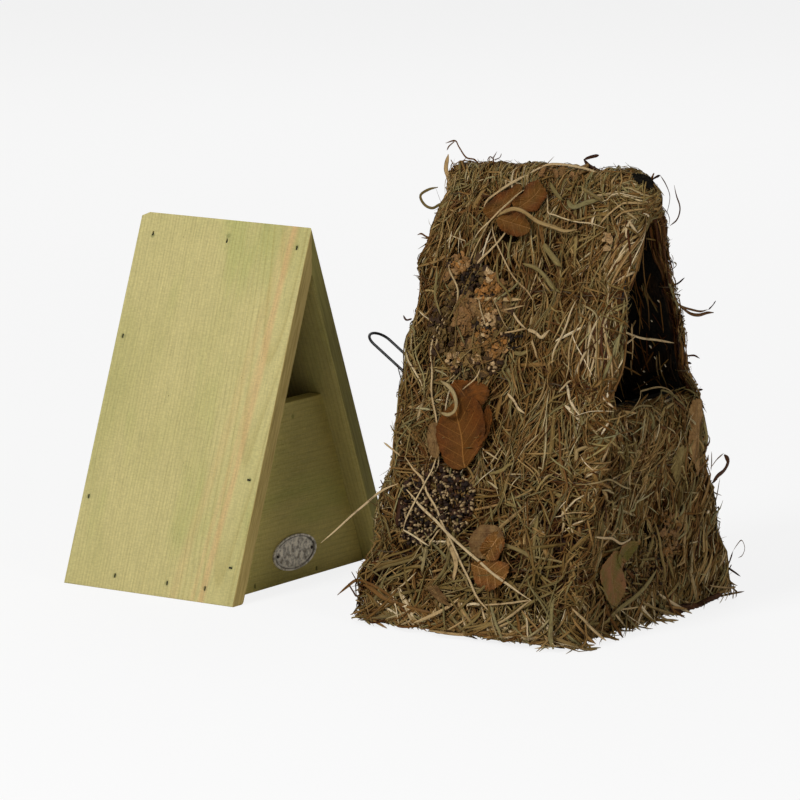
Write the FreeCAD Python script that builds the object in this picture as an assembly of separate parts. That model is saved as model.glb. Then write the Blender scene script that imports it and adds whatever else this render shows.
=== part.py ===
import FreeCAD, Part
import math
import os
from FreeCAD import Vector

# A bird nesting box of pine boards, with its hay cover taken off and standing in front of it.
# Sizes are in millimetres. The origin is the centre of the timber box's base, +Z is up and the
# open front faces -Y.

# Timber box
BOX_HEIGHT = 260.0
BOX_WIDTH = 200.0
BOX_DEPTH = 152.0
ROOF_BOARD = 12.0
PANEL_BOARD = 12.0
FLOOR_BOARD = 12.0
FRONT_RECESS = 18.0
FRONT_PANEL_HEIGHT = 132.0
BOARD_FIT = 0.2
ARRIS = 0.8
LOWER_EDGE_ROUND = 3.0
CHIP_LENGTH = 7.0
CHIP_DROP = 3.0

# Gun brads that hold the timber box together
BRAD_SIDE = 1.2
BRAD_LENGTH = 23.0
BRAD_HEAD_LENGTH = 3.0
BRAD_HEAD_THICK = 0.9
BRAD_SINK = 0.7
BRAD_PIT_CLEARANCE = 0.1
SIDE_BRAD_HEIGHT = 10.0
FLOOR_BRAD_SHARES = (-0.1, 0.21)
PANEL_BRAD_INSET = 9.0
RIDGE_BRAD_DROP = 14.0
RIDGE_BRAD_LEAN = 30.0
RIDGE_BRAD_SHARES = (-0.44, -0.03, 0.41)
BACK_BRAD_HEIGHTS = (61.0, 173.0)
FRONT_BRAD_HEIGHTS = (26.0, 86.0)
FRONT_BRAD_INSET = 8.0
FRONT_BRAD_REACH = 2.5
END_BRAD_HEIGHT = 4.0
FRONT_END_BRAD_X = (-48.0, 28.0)
BACK_END_BRAD_X = (-45.0, 45.0)

# Oval plate on the front panel
PLATE_WIDTH = 53.0
PLATE_HEIGHT = 26.0
PLATE_CENTRE_HEIGHT = 21.0
PLATE_THICK = 0.7
PLATE_RIM = 2.2
PLATE_RIM_RAISE = 0.6
PLATE_PIN_X = 21.0
PLATE_PIN_DIAMETER = 1.2
PLATE_PIN_HEAD = 2.4
PLATE_PIN_LENGTH = 9.0
PLATE_PIN_CLEARANCE = 0.05

# Hay cover, which goes over the box from above
COVER_X = 20.0
COVER_GAP = 103.0
COVER_CLEARANCE = 1.0
LINING = 1.0
HAY_SIDE = 8.0
HAY_END_BASE = 9.0
HAY_END_TOP = 5.0
HEADROOM = 25.0
CROWN_HEIGHT = 31.0
CROWN_TOP_WIDTH = 18.0
CROWN_ROUND = 4.5
HAY_CORNER = 5.0
SILL_HEIGHT = 160.0

# Wire frame inside the hay
WIRE = 2.0
CROSS_WIRE = 1.6
FRAME_BEND = 5.0
FRAME_FOOT = 4.0
CROWN_COVER = 8.0
FRAME_TOP_WIDTH = 15.0
BASE_RAIL_HEIGHT = 14.0
MIDDLE_RAIL_HEIGHT = 150.0
SILL_WIRE_DROP = 4.0
HANGER_HEIGHT = 144.0
HANGER_WIDTH = 34.0
HANGER_BEND = 2.5
HANGER_STAND = 6.5

# Hanging loop, which turns on the staple
LOOP_WIDTH = 20.0
LOOP_LENGTH = 72.0
LOOP_RAISED = 34.0
EYE_CLEARANCE = 0.3

# Binding wires over the hay
BINDING = 0.7
BINDING_FIRST = 49.0
BINDING_SPACING = 62.0
BINDING_ROWS = 5
BINDING_BEND = 4.0
BINDING_END_INSET = 7.0

# Leaves and other dressing on the hay
DRESSING_STAND = 0.1
LEAF_THICK = 0.8
BARK_THICK = 3.0
SEED_HEADS_THICK = 4.0

# Outlines on the left wall: along the wall towards the front from its middle, and up its slope
LARGE_BROWN_LEAF = ((-34, 168), (-44, 156), (-48, 144), (-44, 130), (-32, 120), (-19.6, 115),
                    (-12, 125), (-9.5, 138), (-14, 152), (-22, 162))
BROWN_LEAF_BEHIND = ((-40, 174), (-27, 178.5), (-12, 178), (-4.5, 170), (-9, 163.5), (-19, 166), (-30, 171))
TAN_LEAF = ((-50, 146), (-56, 143), (-55, 132), (-51, 124.5), (-46.5, 122), (-46.5, 129), (-50, 137))
LOBED_LEAVES = ((-38, 304), (-31, 314), (-20, 317), (-12, 312), (-9.5, 320), (1, 321), (8, 312),
                (3, 304), (-6, 302), (-2, 293), (-6, 285), (-17, 285.5), (-27, 294), (-35, 296))
LOW_TAN_LEAF = ((-5, 68), (0, 77.5), (12, 79.5), (21.5, 73), (22, 64), (14, 58), (2.5, 58))
LOW_BROWN_LEAF = ((-1, 50), (9.5, 55.3), (27.5, 55.5), (33, 47), (24.5, 38), (13.5, 36), (4, 41))
BARK_FLAKES = ((-63, 260), (-47, 268), (-33, 262.5), (-17.5, 247.5), (-4, 231), (-1.5, 210),
               (-5.5, 188), (-14, 182), (-35, 181), (-49.5, 185), (-51, 212), (-60, 233))
SEED_HEADS = ((-62, 111), (-48, 116.5), (-32, 113.5), (-20, 110), (-8, 106), (-8, 86), (-14.5, 74),
              (-33, 73), (-54, 63), (-65, 76), (-65, 97))

# Outline low on the front sill: across from its middle, and up its slope
OLIVE_LEAF = ((-64, 37), (-60.5, 58), (-53, 62), (-45.5, 56), (-35.5, 41), (-38.5, 24), (-51, 20), (-60, 28))

# Outlines near the sill's lip: across from its middle, and up its slope from the lip
SEED_POD = ((31.5, -41), (44, -43), (47, -58), (40, -66), (32.5, -56))
BROAD_BLADE = ((50.5, -9), (54, -9.5), (59, -29), (61.5, -48), (58, -49.5), (54, -30))

# Sizes that follow from the ones above
ROOF_ANGLE = math.atan2(BOX_WIDTH / 2, BOX_HEIGHT)
ROOF_SLOPE = math.tan(ROOF_ANGLE)
INNER_APEX = BOX_HEIGHT - ROOF_BOARD / math.sin(ROOF_ANGLE)
BOX_FRONT = -BOX_DEPTH / 2
BOX_BACK = BOX_DEPTH / 2
PANEL_FRONT = BOX_FRONT + FRONT_RECESS
PANEL_BACK = PANEL_FRONT + PANEL_BOARD
BACK_PANEL_FRONT = BOX_BACK - PANEL_BOARD

CROWN_BASE = BOX_HEIGHT + HEADROOM
COVER_HEIGHT = CROWN_BASE + CROWN_HEIGHT
HAY_INNER_DEPTH = BOX_DEPTH / 2 + COVER_CLEARANCE + LINING
HAY_INNER_WIDTH = BOX_WIDTH / 2 + COVER_CLEARANCE + LINING
HAY_OUTER_WIDTH = HAY_INNER_WIDTH + HAY_SIDE
COVER_SLOPE = (HAY_OUTER_WIDTH - CROWN_TOP_WIDTH / 2) / COVER_HEIGHT
COVER_ANGLE = math.atan(COVER_SLOPE)
END_BASE = HAY_INNER_DEPTH + HAY_END_BASE
END_TOP = HAY_INNER_DEPTH + HAY_END_TOP
END_SLOPE = (END_BASE - END_TOP) / COVER_HEIGHT
END_ANGLE = math.atan(END_SLOPE)
COVER_PLACE = Vector(COVER_X, BOX_FRONT - COVER_GAP - END_BASE, 0)
WALL_MIDDLE = HAY_INNER_WIDTH + HAY_SIDE / 2
FRAME_TOP = COVER_HEIGHT - CROWN_COVER
FRAME_DEPTH = HAY_INNER_DEPTH + (HAY_END_BASE + HAY_END_TOP) / 4
LOOP_PIVOT_Y = END_BASE - END_SLOPE * HANGER_HEIGHT + HANGER_STAND
EYE_RADIUS = WIRE + EYE_CLEARANCE


def save(name, *solids):
    shape = solids[0] if len(solids) == 1 else Part.makeCompound(list(solids))
    os.makedirs("parts", exist_ok=True)
    shape.exportStep("parts/" + name + ".step")


def save_cover(name, *solids):
    save(name, *[solid.translated(COVER_PLACE) for solid in solids])


def slab_along_y(outline, low, high):
    """A solid with this outline in X and Z, from y = low to y = high."""
    points = [Vector(x, low, z) for x, z in outline]
    return Part.Face(Part.makePolygon(points + points[:1])).extrude(Vector(0, high - low, 0))


def slab_along_x(outline, low, high):
    """A solid with this outline in Y and Z, from x = low to x = high."""
    points = [Vector(low, y, z) for y, z in outline]
    return Part.Face(Part.makePolygon(points + points[:1])).extrude(Vector(high - low, 0, 0))


def frame_at(origin, u, v, n):
    """The place of a local frame with this origin and these three directions."""
    return FreeCAD.Placement(
        FreeCAD.Matrix(u.x, v.x, n.x, origin.x, u.y, v.y, n.y, origin.y, u.z, v.z, n.z, origin.z, 0, 0, 0, 1))


def placed(shape, place):
    copy = shape.copy()
    copy.Placement = place.multiply(copy.Placement)
    return copy


def rounded(shape, radius, wanted):
    """The shape with each edge whose two ends are wanted rounded off."""
    edges = [e for e in shape.Edges if len(e.Vertexes) == 2 and wanted(e.Vertexes[0].Point, e.Vertexes[1].Point)]
    return shape.makeFillet(radius, edges)


def rod(start, end, diameter):
    return Part.makeCylinder(diameter / 2, (end - start).Length, start, end - start)


def bent_wire(points, bend, diameter, closed=False):
    """A round wire with straight runs and one arc at each corner."""
    count = len(points)
    corners = range(count) if closed else range(1, count - 1)
    pieces = []
    run_start = {i: points[i] for i in range(count)}
    run_end = {i: points[i] for i in range(count)}
    for i in corners:
        corner = points[i]
        into = (corner - points[i - 1]).normalize()
        out = (points[(i + 1) % count] - corner).normalize()
        turn = into.getAngle(out)
        setback = bend * math.tan(turn / 2)
        arc_start = corner - into * setback
        run_end[i] = arc_start
        run_start[i] = corner + out * setback
        side = (out - into * into.dot(out)).normalize()
        disc = Part.Face(Part.Wire(Part.makeCircle(diameter / 2, arc_start, into)))
        pieces.append(disc.revolve(arc_start + side * bend, into.cross(out), math.degrees(turn)))
    for i in range(count if closed else count - 1):
        pieces.append(rod(run_start[i], run_end[(i + 1) % count], diameter))
    return pieces[0].fuse(pieces[1:]).removeSplitter()


def roof_half_width(z):
    """Half the width between the roof boards' inner faces."""
    return (INNER_APEX - z) * ROOF_SLOPE


def hay_inner(z):
    return HAY_INNER_WIDTH - COVER_SLOPE * z


def hay_outer(z):
    return HAY_OUTER_WIDTH - COVER_SLOPE * z


def on_hay_surface(p):
    """Whether this point lies on the outer face of a leaning side of the hay."""
    return abs(abs(p.x) - hay_outer(p.z)) < 0.01


def wall_middle(z):
    return WALL_MIDDLE - COVER_SLOPE * z


def cover_end(z):
    return END_BASE - END_SLOPE * z


def brad(point, direction, along):
    """A brad and the pit that it is driven in, for a head at this point of the surface."""
    n = Vector(direction).normalize()
    u = (Vector(along) - n * n.dot(Vector(along))).normalize()
    v = n.cross(u)
    place = frame_at(point, u, v, n)
    side = BRAD_SIDE
    shank = Part.makeBox(side, side, BRAD_LENGTH, Vector(-side / 2, -side / 2, BRAD_SINK))
    head = Part.makeBox(BRAD_HEAD_LENGTH, side, BRAD_HEAD_THICK, Vector(-BRAD_HEAD_LENGTH / 2, -side / 2, BRAD_SINK))
    pit_length = BRAD_HEAD_LENGTH + 2 * BRAD_PIT_CLEARANCE
    pit_side = side + 2 * BRAD_PIT_CLEARANCE
    pit_depth = 2 * BRAD_SINK + BRAD_HEAD_THICK
    pit = Part.makeBox(pit_length, pit_side, pit_depth, Vector(-pit_length / 2, -pit_side / 2, -BRAD_SINK))
    nail = shank.fuse(head).removeSplitter()
    return placed(nail, place), placed(nail.fuse(pit), place)


def roof_surface(side, y, z):
    """A point on the outer face of the left (-1) or right (1) roof board."""
    return Vector(side * (BOX_HEIGHT - z) * ROOF_SLOPE, y, z)


def inward(side):
    return Vector(-side * math.cos(ROOF_ANGLE), 0, -math.sin(ROOF_ANGLE))


def up_slope(side):
    return Vector(-side * math.sin(ROOF_ANGLE), 0, math.cos(ROOF_ANGLE))


def side_brads(side):
    """The brads through one roof board, by what they hold."""
    floor_y = [share * BOX_DEPTH for share in FLOOR_BRAD_SHARES]
    floor = [brad(roof_surface(side, y, SIDE_BRAD_HEIGHT), inward(side), up_slope(side)) for y in floor_y]
    back_y = BOX_BACK - PANEL_BOARD / 2
    back = [brad(roof_surface(side, back_y, z), inward(side), up_slope(side)) for z in BACK_BRAD_HEIGHTS]
    low = brad(roof_surface(side, PANEL_FRONT + PANEL_BRAD_INSET, SIDE_BRAD_HEIGHT), inward(side), up_slope(side))
    front_y = BOX_FRONT + FRONT_BRAD_INSET
    skew = math.atan2(FRONT_RECESS + FRONT_BRAD_REACH - FRONT_BRAD_INSET, ROOF_BOARD)
    drive = inward(side) * math.cos(skew) + Vector(0, math.sin(skew), 0)
    front = [brad(roof_surface(side, front_y, z), drive, Vector(0, 1, 0)) for z in FRONT_BRAD_HEIGHTS]
    return {"floor": floor, "back_panel": back, "front_panel": [low] + front}


def ridge_brads():
    lean = math.radians(RIDGE_BRAD_LEAN)
    drive = Vector(math.sin(lean), 0, -math.cos(lean))
    places = [roof_surface(-1, share * BOX_DEPTH, BOX_HEIGHT - RIDGE_BRAD_DROP) for share in RIDGE_BRAD_SHARES]
    return [brad(place, drive, up_slope(-1)) for place in places]


def end_brads():
    front = [brad(Vector(x, PANEL_FRONT, END_BRAD_HEIGHT), Vector(0, 1, 0), Vector(0, 0, 1))
             for x in FRONT_END_BRAD_X]
    back = [brad(Vector(x, BOX_BACK, END_BRAD_HEIGHT), Vector(0, -1, 0), Vector(0, 0, 1))
            for x in BACK_END_BRAD_X]
    return front, back


def roof_board(side):
    foot_in = roof_half_width(0)
    outline = [(side * BOX_WIDTH / 2, 0), (0, BOX_HEIGHT), (0, INNER_APEX), (side * foot_in, 0)]
    board = slab_along_y(outline, BOX_FRONT, BOX_BACK)

    def on_inner_foot(a, b):
        return abs(abs(a.x) - foot_in) < 0.01 and abs(abs(b.x) - foot_in) < 0.01 and a.z < 1 and b.z < 1

    board = rounded(board, LOWER_EDGE_ROUND, on_inner_foot)
    board = rounded(board, ARRIS, lambda a, b: is_outer_edge(a, b))
    ridge = BOX_HEIGHT
    chip = [(BOX_BACK + 1, ridge + 1), (BOX_BACK - CHIP_LENGTH, ridge + 0.01), (BOX_BACK + 0.01, ridge - CHIP_DROP)]
    return board.cut(slab_along_x(chip, -ROOF_BOARD, ROOF_BOARD))


def is_outer_edge(a, b):
    """An edge of a roof board's outer face, apart from its ridge."""
    def on_face(p):
        return abs(abs(p.x) - (BOX_HEIGHT - p.z) * ROOF_SLOPE) < 0.01
    return on_face(a) and on_face(b) and not (abs(a.x) < 0.01 and abs(b.x) < 0.01)


def fitted_outline(low, high):
    """The outline of a panel or floor between the roof boards, from low to high."""
    fit = BOARD_FIT / math.cos(ROOF_ANGLE)
    apex = INNER_APEX - fit / ROOF_SLOPE
    corners = [(-(roof_half_width(low) - fit), low), (roof_half_width(low) - fit, low)]
    if high >= apex:
        return corners + [(0, apex)]
    return corners + [(roof_half_width(high) - fit, high), (-(roof_half_width(high) - fit), high)]


def ellipse_solid(width, height, low, high, centre_z):
    """An upright oval slab from y = low to y = high."""
    curve = Part.Ellipse(Vector(0, 0, 0), width / 2, height / 2).toShape()
    slab = Part.Face(Part.Wire(curve)).extrude(Vector(0, 0, high - low))
    slab.rotate(Vector(0, 0, 0), Vector(1, 0, 0), 90)
    return slab.translated(Vector(0, high, centre_z))


def plate_pin(x):
    """A round-headed pin through the plate, and the hole for it."""
    face = PANEL_FRONT - PLATE_THICK
    inward_y = Vector(0, 1, 0)
    shank = Part.makeCylinder(PLATE_PIN_DIAMETER / 2, PLATE_PIN_LENGTH, Vector(x, face, PLATE_CENTRE_HEIGHT), inward_y)
    head = Part.makeSphere(PLATE_PIN_HEAD / 2, Vector(x, face, PLATE_CENTRE_HEIGHT))
    front_half = Part.makeBox(PLATE_PIN_HEAD * 2, PLATE_PIN_HEAD, PLATE_PIN_HEAD * 2,
                              Vector(x - PLATE_PIN_HEAD, face - PLATE_PIN_HEAD, PLATE_CENTRE_HEIGHT - PLATE_PIN_HEAD))
    hole = Part.makeCylinder(PLATE_PIN_DIAMETER / 2 + PLATE_PIN_CLEARANCE, PLATE_PIN_LENGTH + PLATE_THICK,
                             Vector(x, face - PLATE_THICK, PLATE_CENTRE_HEIGHT), inward_y)
    return shank.fuse(head.common(front_half)).removeSplitter(), hole


def oval_plate(holes):
    face = PANEL_FRONT
    sheet = ellipse_solid(PLATE_WIDTH, PLATE_HEIGHT, face - PLATE_THICK, face, PLATE_CENTRE_HEIGHT)
    rim = ellipse_solid(PLATE_WIDTH, PLATE_HEIGHT, face - PLATE_THICK - PLATE_RIM_RAISE, face - PLATE_THICK,
                        PLATE_CENTRE_HEIGHT)
    well = ellipse_solid(PLATE_WIDTH - 2 * PLATE_RIM, PLATE_HEIGHT - 2 * PLATE_RIM,
                         face - PLATE_THICK - 2 * PLATE_RIM_RAISE, face - PLATE_THICK, PLATE_CENTRE_HEIGHT)
    return sheet.fuse(rim.cut(well)).removeSplitter().cut(holes)


def build_box():
    left = side_brads(-1)
    right = side_brads(1)
    ridge = ridge_brads()
    front_end, back_end = end_brads()
    pins = [plate_pin(x) for x in (-PLATE_PIN_X, PLATE_PIN_X)]
    pin_holes = [hole for _, hole in pins]

    def pits(*groups):
        return [pit for group in groups for _, pit in group]

    def nails(group):
        return [nail for nail, _ in group]

    save("roof_board_left", roof_board(-1).cut(pits(ridge, *left.values())))
    save("roof_board_right", roof_board(1).cut(pits(ridge, *right.values())))
    floor = slab_along_y(fitted_outline(0, FLOOR_BOARD), PANEL_BACK, BACK_PANEL_FRONT)
    save("floor_board", floor.cut(pits(left["floor"], right["floor"], front_end, back_end)))
    front = slab_along_y(fitted_outline(0, FRONT_PANEL_HEIGHT), PANEL_FRONT, PANEL_BACK)
    front = rounded(front, ARRIS, lambda a, b: min(a.z, b.z) > FRONT_PANEL_HEIGHT - 0.01 and abs(a.y - b.y) < 0.01)
    save("front_panel", front.cut(pits(left["front_panel"], right["front_panel"], front_end) + pin_holes))
    back = slab_along_y(fitted_outline(0, BOX_HEIGHT), BACK_PANEL_FRONT, BOX_BACK)
    save("back_panel", back.cut(pits(left["back_panel"], right["back_panel"], back_end)))
    save("ridge_nails", *nails(ridge))
    for side_name, groups in (("left", left), ("right", right)):
        for held, group in groups.items():
            save(side_name + "_" + held + "_nails", *nails(group))
    save("front_end_nails", *nails(front_end))
    save("back_end_nails", *nails(back_end))
    save("oval_plate", oval_plate(pin_holes))
    save("plate_pins", *[pin for pin, _ in pins])


def end_frame(side):
    """The A of wire in the front (-1) or back (1) of the cover."""
    y = side * FRAME_DEPTH
    foot = wall_middle(FRAME_FOOT)
    top = FRAME_TOP_WIDTH / 2
    corners = [(-foot, FRAME_FOOT), (-top, FRAME_TOP), (top, FRAME_TOP), (foot, FRAME_FOOT)]
    return bent_wire([Vector(x, y, z) for x, z in corners], FRAME_BEND, WIRE, closed=True)


def frame_leg(z):
    """Where a leg of the end frames is at this height."""
    foot = wall_middle(FRAME_FOOT)
    share = (z - FRAME_FOOT) / (FRAME_TOP - FRAME_FOOT)
    return foot + (FRAME_TOP_WIDTH / 2 - foot) * share


def build_frame():
    """Every wire of the frame by name, each cut to butt against what it is welded to, and all of them in one piece."""
    front = end_frame(-1)
    back = end_frame(1)
    rods = {"ridge_rail": [(0, -FRAME_DEPTH, FRAME_TOP), (0, FRAME_DEPTH, FRAME_TOP)]}
    for side, name in ((-1, "left"), (1, "right")):
        for place, z in (("base", BASE_RAIL_HEIGHT), ("middle", MIDDLE_RAIL_HEIGHT)):
            x = side * frame_leg(z)
            rods[name + "_" + place + "_rail"] = [(x, -FRAME_DEPTH, z), (x, FRAME_DEPTH, z)]
    for name, y, z in (("sill_wire", -FRAME_DEPTH, SILL_HEIGHT - SILL_WIRE_DROP),
                       ("rear_cross_wire", FRAME_DEPTH, HANGER_HEIGHT)):
        rods[name] = [(-frame_leg(z), y, z), (frame_leg(z), y, z)]
    rods = {name: rod(Vector(*ends[0]), Vector(*ends[1]), CROSS_WIRE) for name, ends in rods.items()}
    half = HANGER_WIDTH / 2
    corners = [(-half, FRAME_DEPTH), (-half, LOOP_PIVOT_Y), (half, LOOP_PIVOT_Y), (half, FRAME_DEPTH)]
    staple = bent_wire([Vector(x, y, HANGER_HEIGHT) for x, y in corners], HANGER_BEND, WIRE)
    wires = {name: wire.cut([front, back]) for name, wire in rods.items()}
    wires["hanger_staple"] = staple.cut([rods["rear_cross_wire"]])
    wires["front_frame_wire"] = front
    wires["rear_frame_wire"] = back
    return wires, front.fuse([back, staple] + list(rods.values()))


def hanging_loop():
    """A long U of wire whose two ends are closed into eyes round the staple."""
    half = LOOP_WIDTH / 2
    corners = [Vector(-half, EYE_RADIUS, 0), Vector(-half, LOOP_LENGTH, 0),
               Vector(half, LOOP_LENGTH, 0), Vector(half, EYE_RADIUS, 0)]
    loop = bent_wire(corners, half - 0.01, WIRE)
    eyes = [Part.makeTorus(EYE_RADIUS, WIRE / 2, Vector(x, 0, 0), Vector(1, 0, 0)) for x in (-half, half)]
    loop = loop.fuse(eyes).removeSplitter()
    loop.rotate(Vector(0, 0, 0), Vector(1, 0, 0), LOOP_RAISED)
    return loop.translated(Vector(0, LOOP_PIVOT_Y, HANGER_HEIGHT))


def leaning_ends():
    """The space between the cover's two leaning end faces."""
    outline = [(-END_BASE, 0), (END_BASE, 0), (END_TOP, COVER_HEIGHT), (-END_TOP, COVER_HEIGHT)]
    return slab_along_x(outline, -2 * HAY_OUTER_WIDTH, 2 * HAY_OUTER_WIDTH)


def side_wall(side):
    outline = [(side * hay_inner(0), 0), (side * hay_outer(0), 0),
               (side * hay_outer(CROWN_BASE), CROWN_BASE), (side * hay_inner(CROWN_BASE), CROWN_BASE)]
    wall = slab_along_y(outline, -2 * END_BASE, 2 * END_BASE).common(leaning_ends())

    def outer_corner(a, b):
        return on_hay_surface(a) and on_hay_surface(b) and abs(a.z - b.z) > 1

    return rounded(wall, HAY_CORNER, outer_corner)


def between_walls(z_top, y_low, y_high):
    outline = [(-hay_inner(0), 0), (hay_inner(0), 0), (hay_inner(z_top), z_top), (-hay_inner(z_top), z_top)]
    return slab_along_y(outline, y_low, y_high).common(leaning_ends())


def crown():
    low = hay_outer(CROWN_BASE)
    top = CROWN_TOP_WIDTH / 2
    outline = [(-low, CROWN_BASE), (low, CROWN_BASE), (top, COVER_HEIGHT), (-top, COVER_HEIGHT)]
    bar = slab_along_y(outline, -2 * END_BASE, 2 * END_BASE).common(leaning_ends())
    bar = rounded(bar, HAY_CORNER, lambda a, b: on_hay_surface(a) and on_hay_surface(b) and abs(a.z - b.z) > 1)
    return rounded(bar, CROWN_ROUND, lambda a, b: min(a.z, b.z) > COVER_HEIGHT - 0.01)


def build_hay(frame):
    inner = HAY_INNER_DEPTH
    walls = {
        "hay_left_wall": side_wall(-1),
        "hay_right_wall": side_wall(1),
        "hay_back_wall": between_walls(CROWN_BASE, inner, 2 * END_BASE),
        "hay_front_sill": between_walls(SILL_HEIGHT, -2 * END_BASE, -inner),
        "hay_crown": crown(),
    }
    for name, wall in walls.items():
        save_cover(name, wall.cut(frame))


def build_lining():
    inner = HAY_INNER_DEPTH
    thick = LINING / math.cos(COVER_ANGLE)
    for side, name in ((-1, "left"), (1, "right")):
        outline = [(side * hay_inner(0), 0), (side * (hay_inner(0) - thick), 0),
                   (side * (hay_inner(CROWN_BASE) - thick), CROWN_BASE), (side * hay_inner(CROWN_BASE), CROWN_BASE)]
        save_cover("lining_" + name, slab_along_y(outline, -inner, inner))
    for top, low, high, name in ((SILL_HEIGHT, -inner, LINING - inner, "front"),
                                 (CROWN_BASE, inner - LINING, inner, "back")):
        wide = hay_inner(0) - thick
        narrow = hay_inner(top) - thick
        outline = [(-wide, 0), (wide, 0), (narrow, top), (-narrow, top)]
        save_cover("lining_" + name, slab_along_y(outline, low, high))


def binding(z):
    """One binding wire: a ring where the cover is closed at this height, and open at the front elsewhere."""
    x = hay_outer(z) + BINDING / 2 / math.cos(COVER_ANGLE)
    y = cover_end(z) + BINDING / 2 / math.cos(END_ANGLE)
    if SILL_HEIGHT < z < CROWN_BASE:
        front = BINDING_END_INSET - y
        corners = [(x, front), (x, y), (-x, y), (-x, front)]
        return bent_wire([Vector(a, b, z) for a, b in corners], BINDING_BEND, BINDING)
    corners = [(x, -y), (x, y), (-x, y), (-x, -y)]
    return bent_wire([Vector(a, b, z) for a, b in corners], BINDING_BEND, BINDING, closed=True)


def patch(outline, thick, place):
    """A flat piece with a smooth outline, lying just outside the binding wires."""
    curve = Part.BSplineCurve()
    curve.interpolate([Vector(u, v, 0) for u, v in outline], PeriodicFlag=True)
    solid = Part.Face(Part.Wire(curve.toShape())).extrude(Vector(0, 0, thick))
    return placed(solid.translated(Vector(0, 0, BINDING + DRESSING_STAND)), place)


def build_dressing():
    left = frame_at(Vector(-HAY_OUTER_WIDTH, 0, 0), Vector(0, -1, 0),
                    Vector(math.sin(COVER_ANGLE), 0, math.cos(COVER_ANGLE)),
                    Vector(-math.cos(COVER_ANGLE), 0, math.sin(COVER_ANGLE)))
    up_front = Vector(0, math.sin(END_ANGLE), math.cos(END_ANGLE))
    out_front = Vector(0, -math.cos(END_ANGLE), math.sin(END_ANGLE))
    front = frame_at(Vector(0, -END_BASE, 0), Vector(1, 0, 0), up_front, out_front)
    lip = frame_at(Vector(0, -cover_end(SILL_HEIGHT), SILL_HEIGHT), Vector(1, 0, 0), up_front, out_front)
    pieces = {
        "large_brown_leaf": (LARGE_BROWN_LEAF, LEAF_THICK, left),
        "brown_leaf_behind": (BROWN_LEAF_BEHIND, LEAF_THICK, left),
        "tan_leaf": (TAN_LEAF, LEAF_THICK, left),
        "lobed_leaves": (LOBED_LEAVES, LEAF_THICK, left),
        "low_tan_leaf": (LOW_TAN_LEAF, LEAF_THICK, left),
        "low_brown_leaf": (LOW_BROWN_LEAF, LEAF_THICK, left),
        "bark_flakes": (BARK_FLAKES, BARK_THICK, left),
        "seed_heads": (SEED_HEADS, SEED_HEADS_THICK, left),
        "olive_leaf": (OLIVE_LEAF, LEAF_THICK, front),
        "seed_pod": (SEED_POD, LEAF_THICK, lip),
        "broad_blade": (BROAD_BLADE, LEAF_THICK, lip),
    }
    for name, (outline, thick, place) in pieces.items():
        save_cover(name, patch(outline, thick, place))


def build_cover():
    wires, frame = build_frame()
    for name, wire in wires.items():
        save_cover(name, wire)
    build_hay(frame)
    build_lining()
    save_cover("binding_wires", *[binding(BINDING_FIRST + row * BINDING_SPACING) for row in range(BINDING_ROWS)])
    build_dressing()
    save_cover("hanging_loop", hanging_loop())


build_box()
build_cover()
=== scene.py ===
import math
import bmesh
import bpy
import numpy as np
from mathutils import Matrix, Vector


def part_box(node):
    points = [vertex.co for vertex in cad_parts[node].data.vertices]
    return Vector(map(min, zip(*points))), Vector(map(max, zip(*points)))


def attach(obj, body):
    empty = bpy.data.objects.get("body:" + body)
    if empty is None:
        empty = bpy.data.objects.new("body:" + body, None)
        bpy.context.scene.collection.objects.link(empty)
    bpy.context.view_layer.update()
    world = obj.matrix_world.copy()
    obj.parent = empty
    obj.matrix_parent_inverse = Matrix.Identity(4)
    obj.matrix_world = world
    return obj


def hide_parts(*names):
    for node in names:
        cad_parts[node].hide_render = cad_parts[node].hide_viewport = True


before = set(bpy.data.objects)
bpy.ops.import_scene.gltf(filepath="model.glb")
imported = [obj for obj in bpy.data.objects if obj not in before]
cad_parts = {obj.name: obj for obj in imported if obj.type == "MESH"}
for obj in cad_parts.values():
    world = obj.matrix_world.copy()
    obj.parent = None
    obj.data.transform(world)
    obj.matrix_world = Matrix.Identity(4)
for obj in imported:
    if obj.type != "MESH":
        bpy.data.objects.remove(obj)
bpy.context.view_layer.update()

# Lengths are in millimetres until a mesh is made. The camera, the lamps, the floor and the materials are in
# metres, and so are the places of nails that the materials mark.
MM = 0.001
scene = bpy.context.scene
scene.view_settings.view_transform = "Standard"


# Camera, floor and light

CAMERA_PLACE = Vector((-3.39779, -2.52019, 0.88927))
CAMERA_TARGET = Vector((0.21884, 0.0, 0.09425))
CAMERA_LENS = 265.67
CAMERA_ROLL = math.radians(-0.286)
BACKGROUND = (0.922, 0.922, 0.922, 1)


def add_camera():
    forward = (CAMERA_TARGET - CAMERA_PLACE).normalized()
    right = forward.cross(Vector((0, 0, 1))).normalized()
    up = right.cross(forward)
    c = math.cos(CAMERA_ROLL)
    s = math.sin(CAMERA_ROLL)
    columns = Matrix((right * c + up * s, up * c - right * s, -forward)).transposed()
    data = bpy.data.cameras.new("camera")
    data.lens = CAMERA_LENS
    data.sensor_width = 36
    data.clip_start = 0.1
    data.clip_end = 60
    camera = bpy.data.objects.new("camera", data)
    camera.matrix_world = Matrix.Translation(CAMERA_PLACE) @ columns.to_4x4()
    scene.collection.objects.link(camera)
    scene.camera = camera


def add_lamp(name, place, target, size, power):
    data = bpy.data.lights.new(name, "AREA")
    data.shape = "DISK"
    data.size = size
    data.energy = power
    lamp = bpy.data.objects.new(name, data)
    lamp.location = place
    lamp.rotation_mode = "QUATERNION"
    lamp.rotation_quaternion = (Vector(target) - Vector(place)).to_track_quat("-Z", "Y")
    scene.collection.objects.link(lamp)


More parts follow.
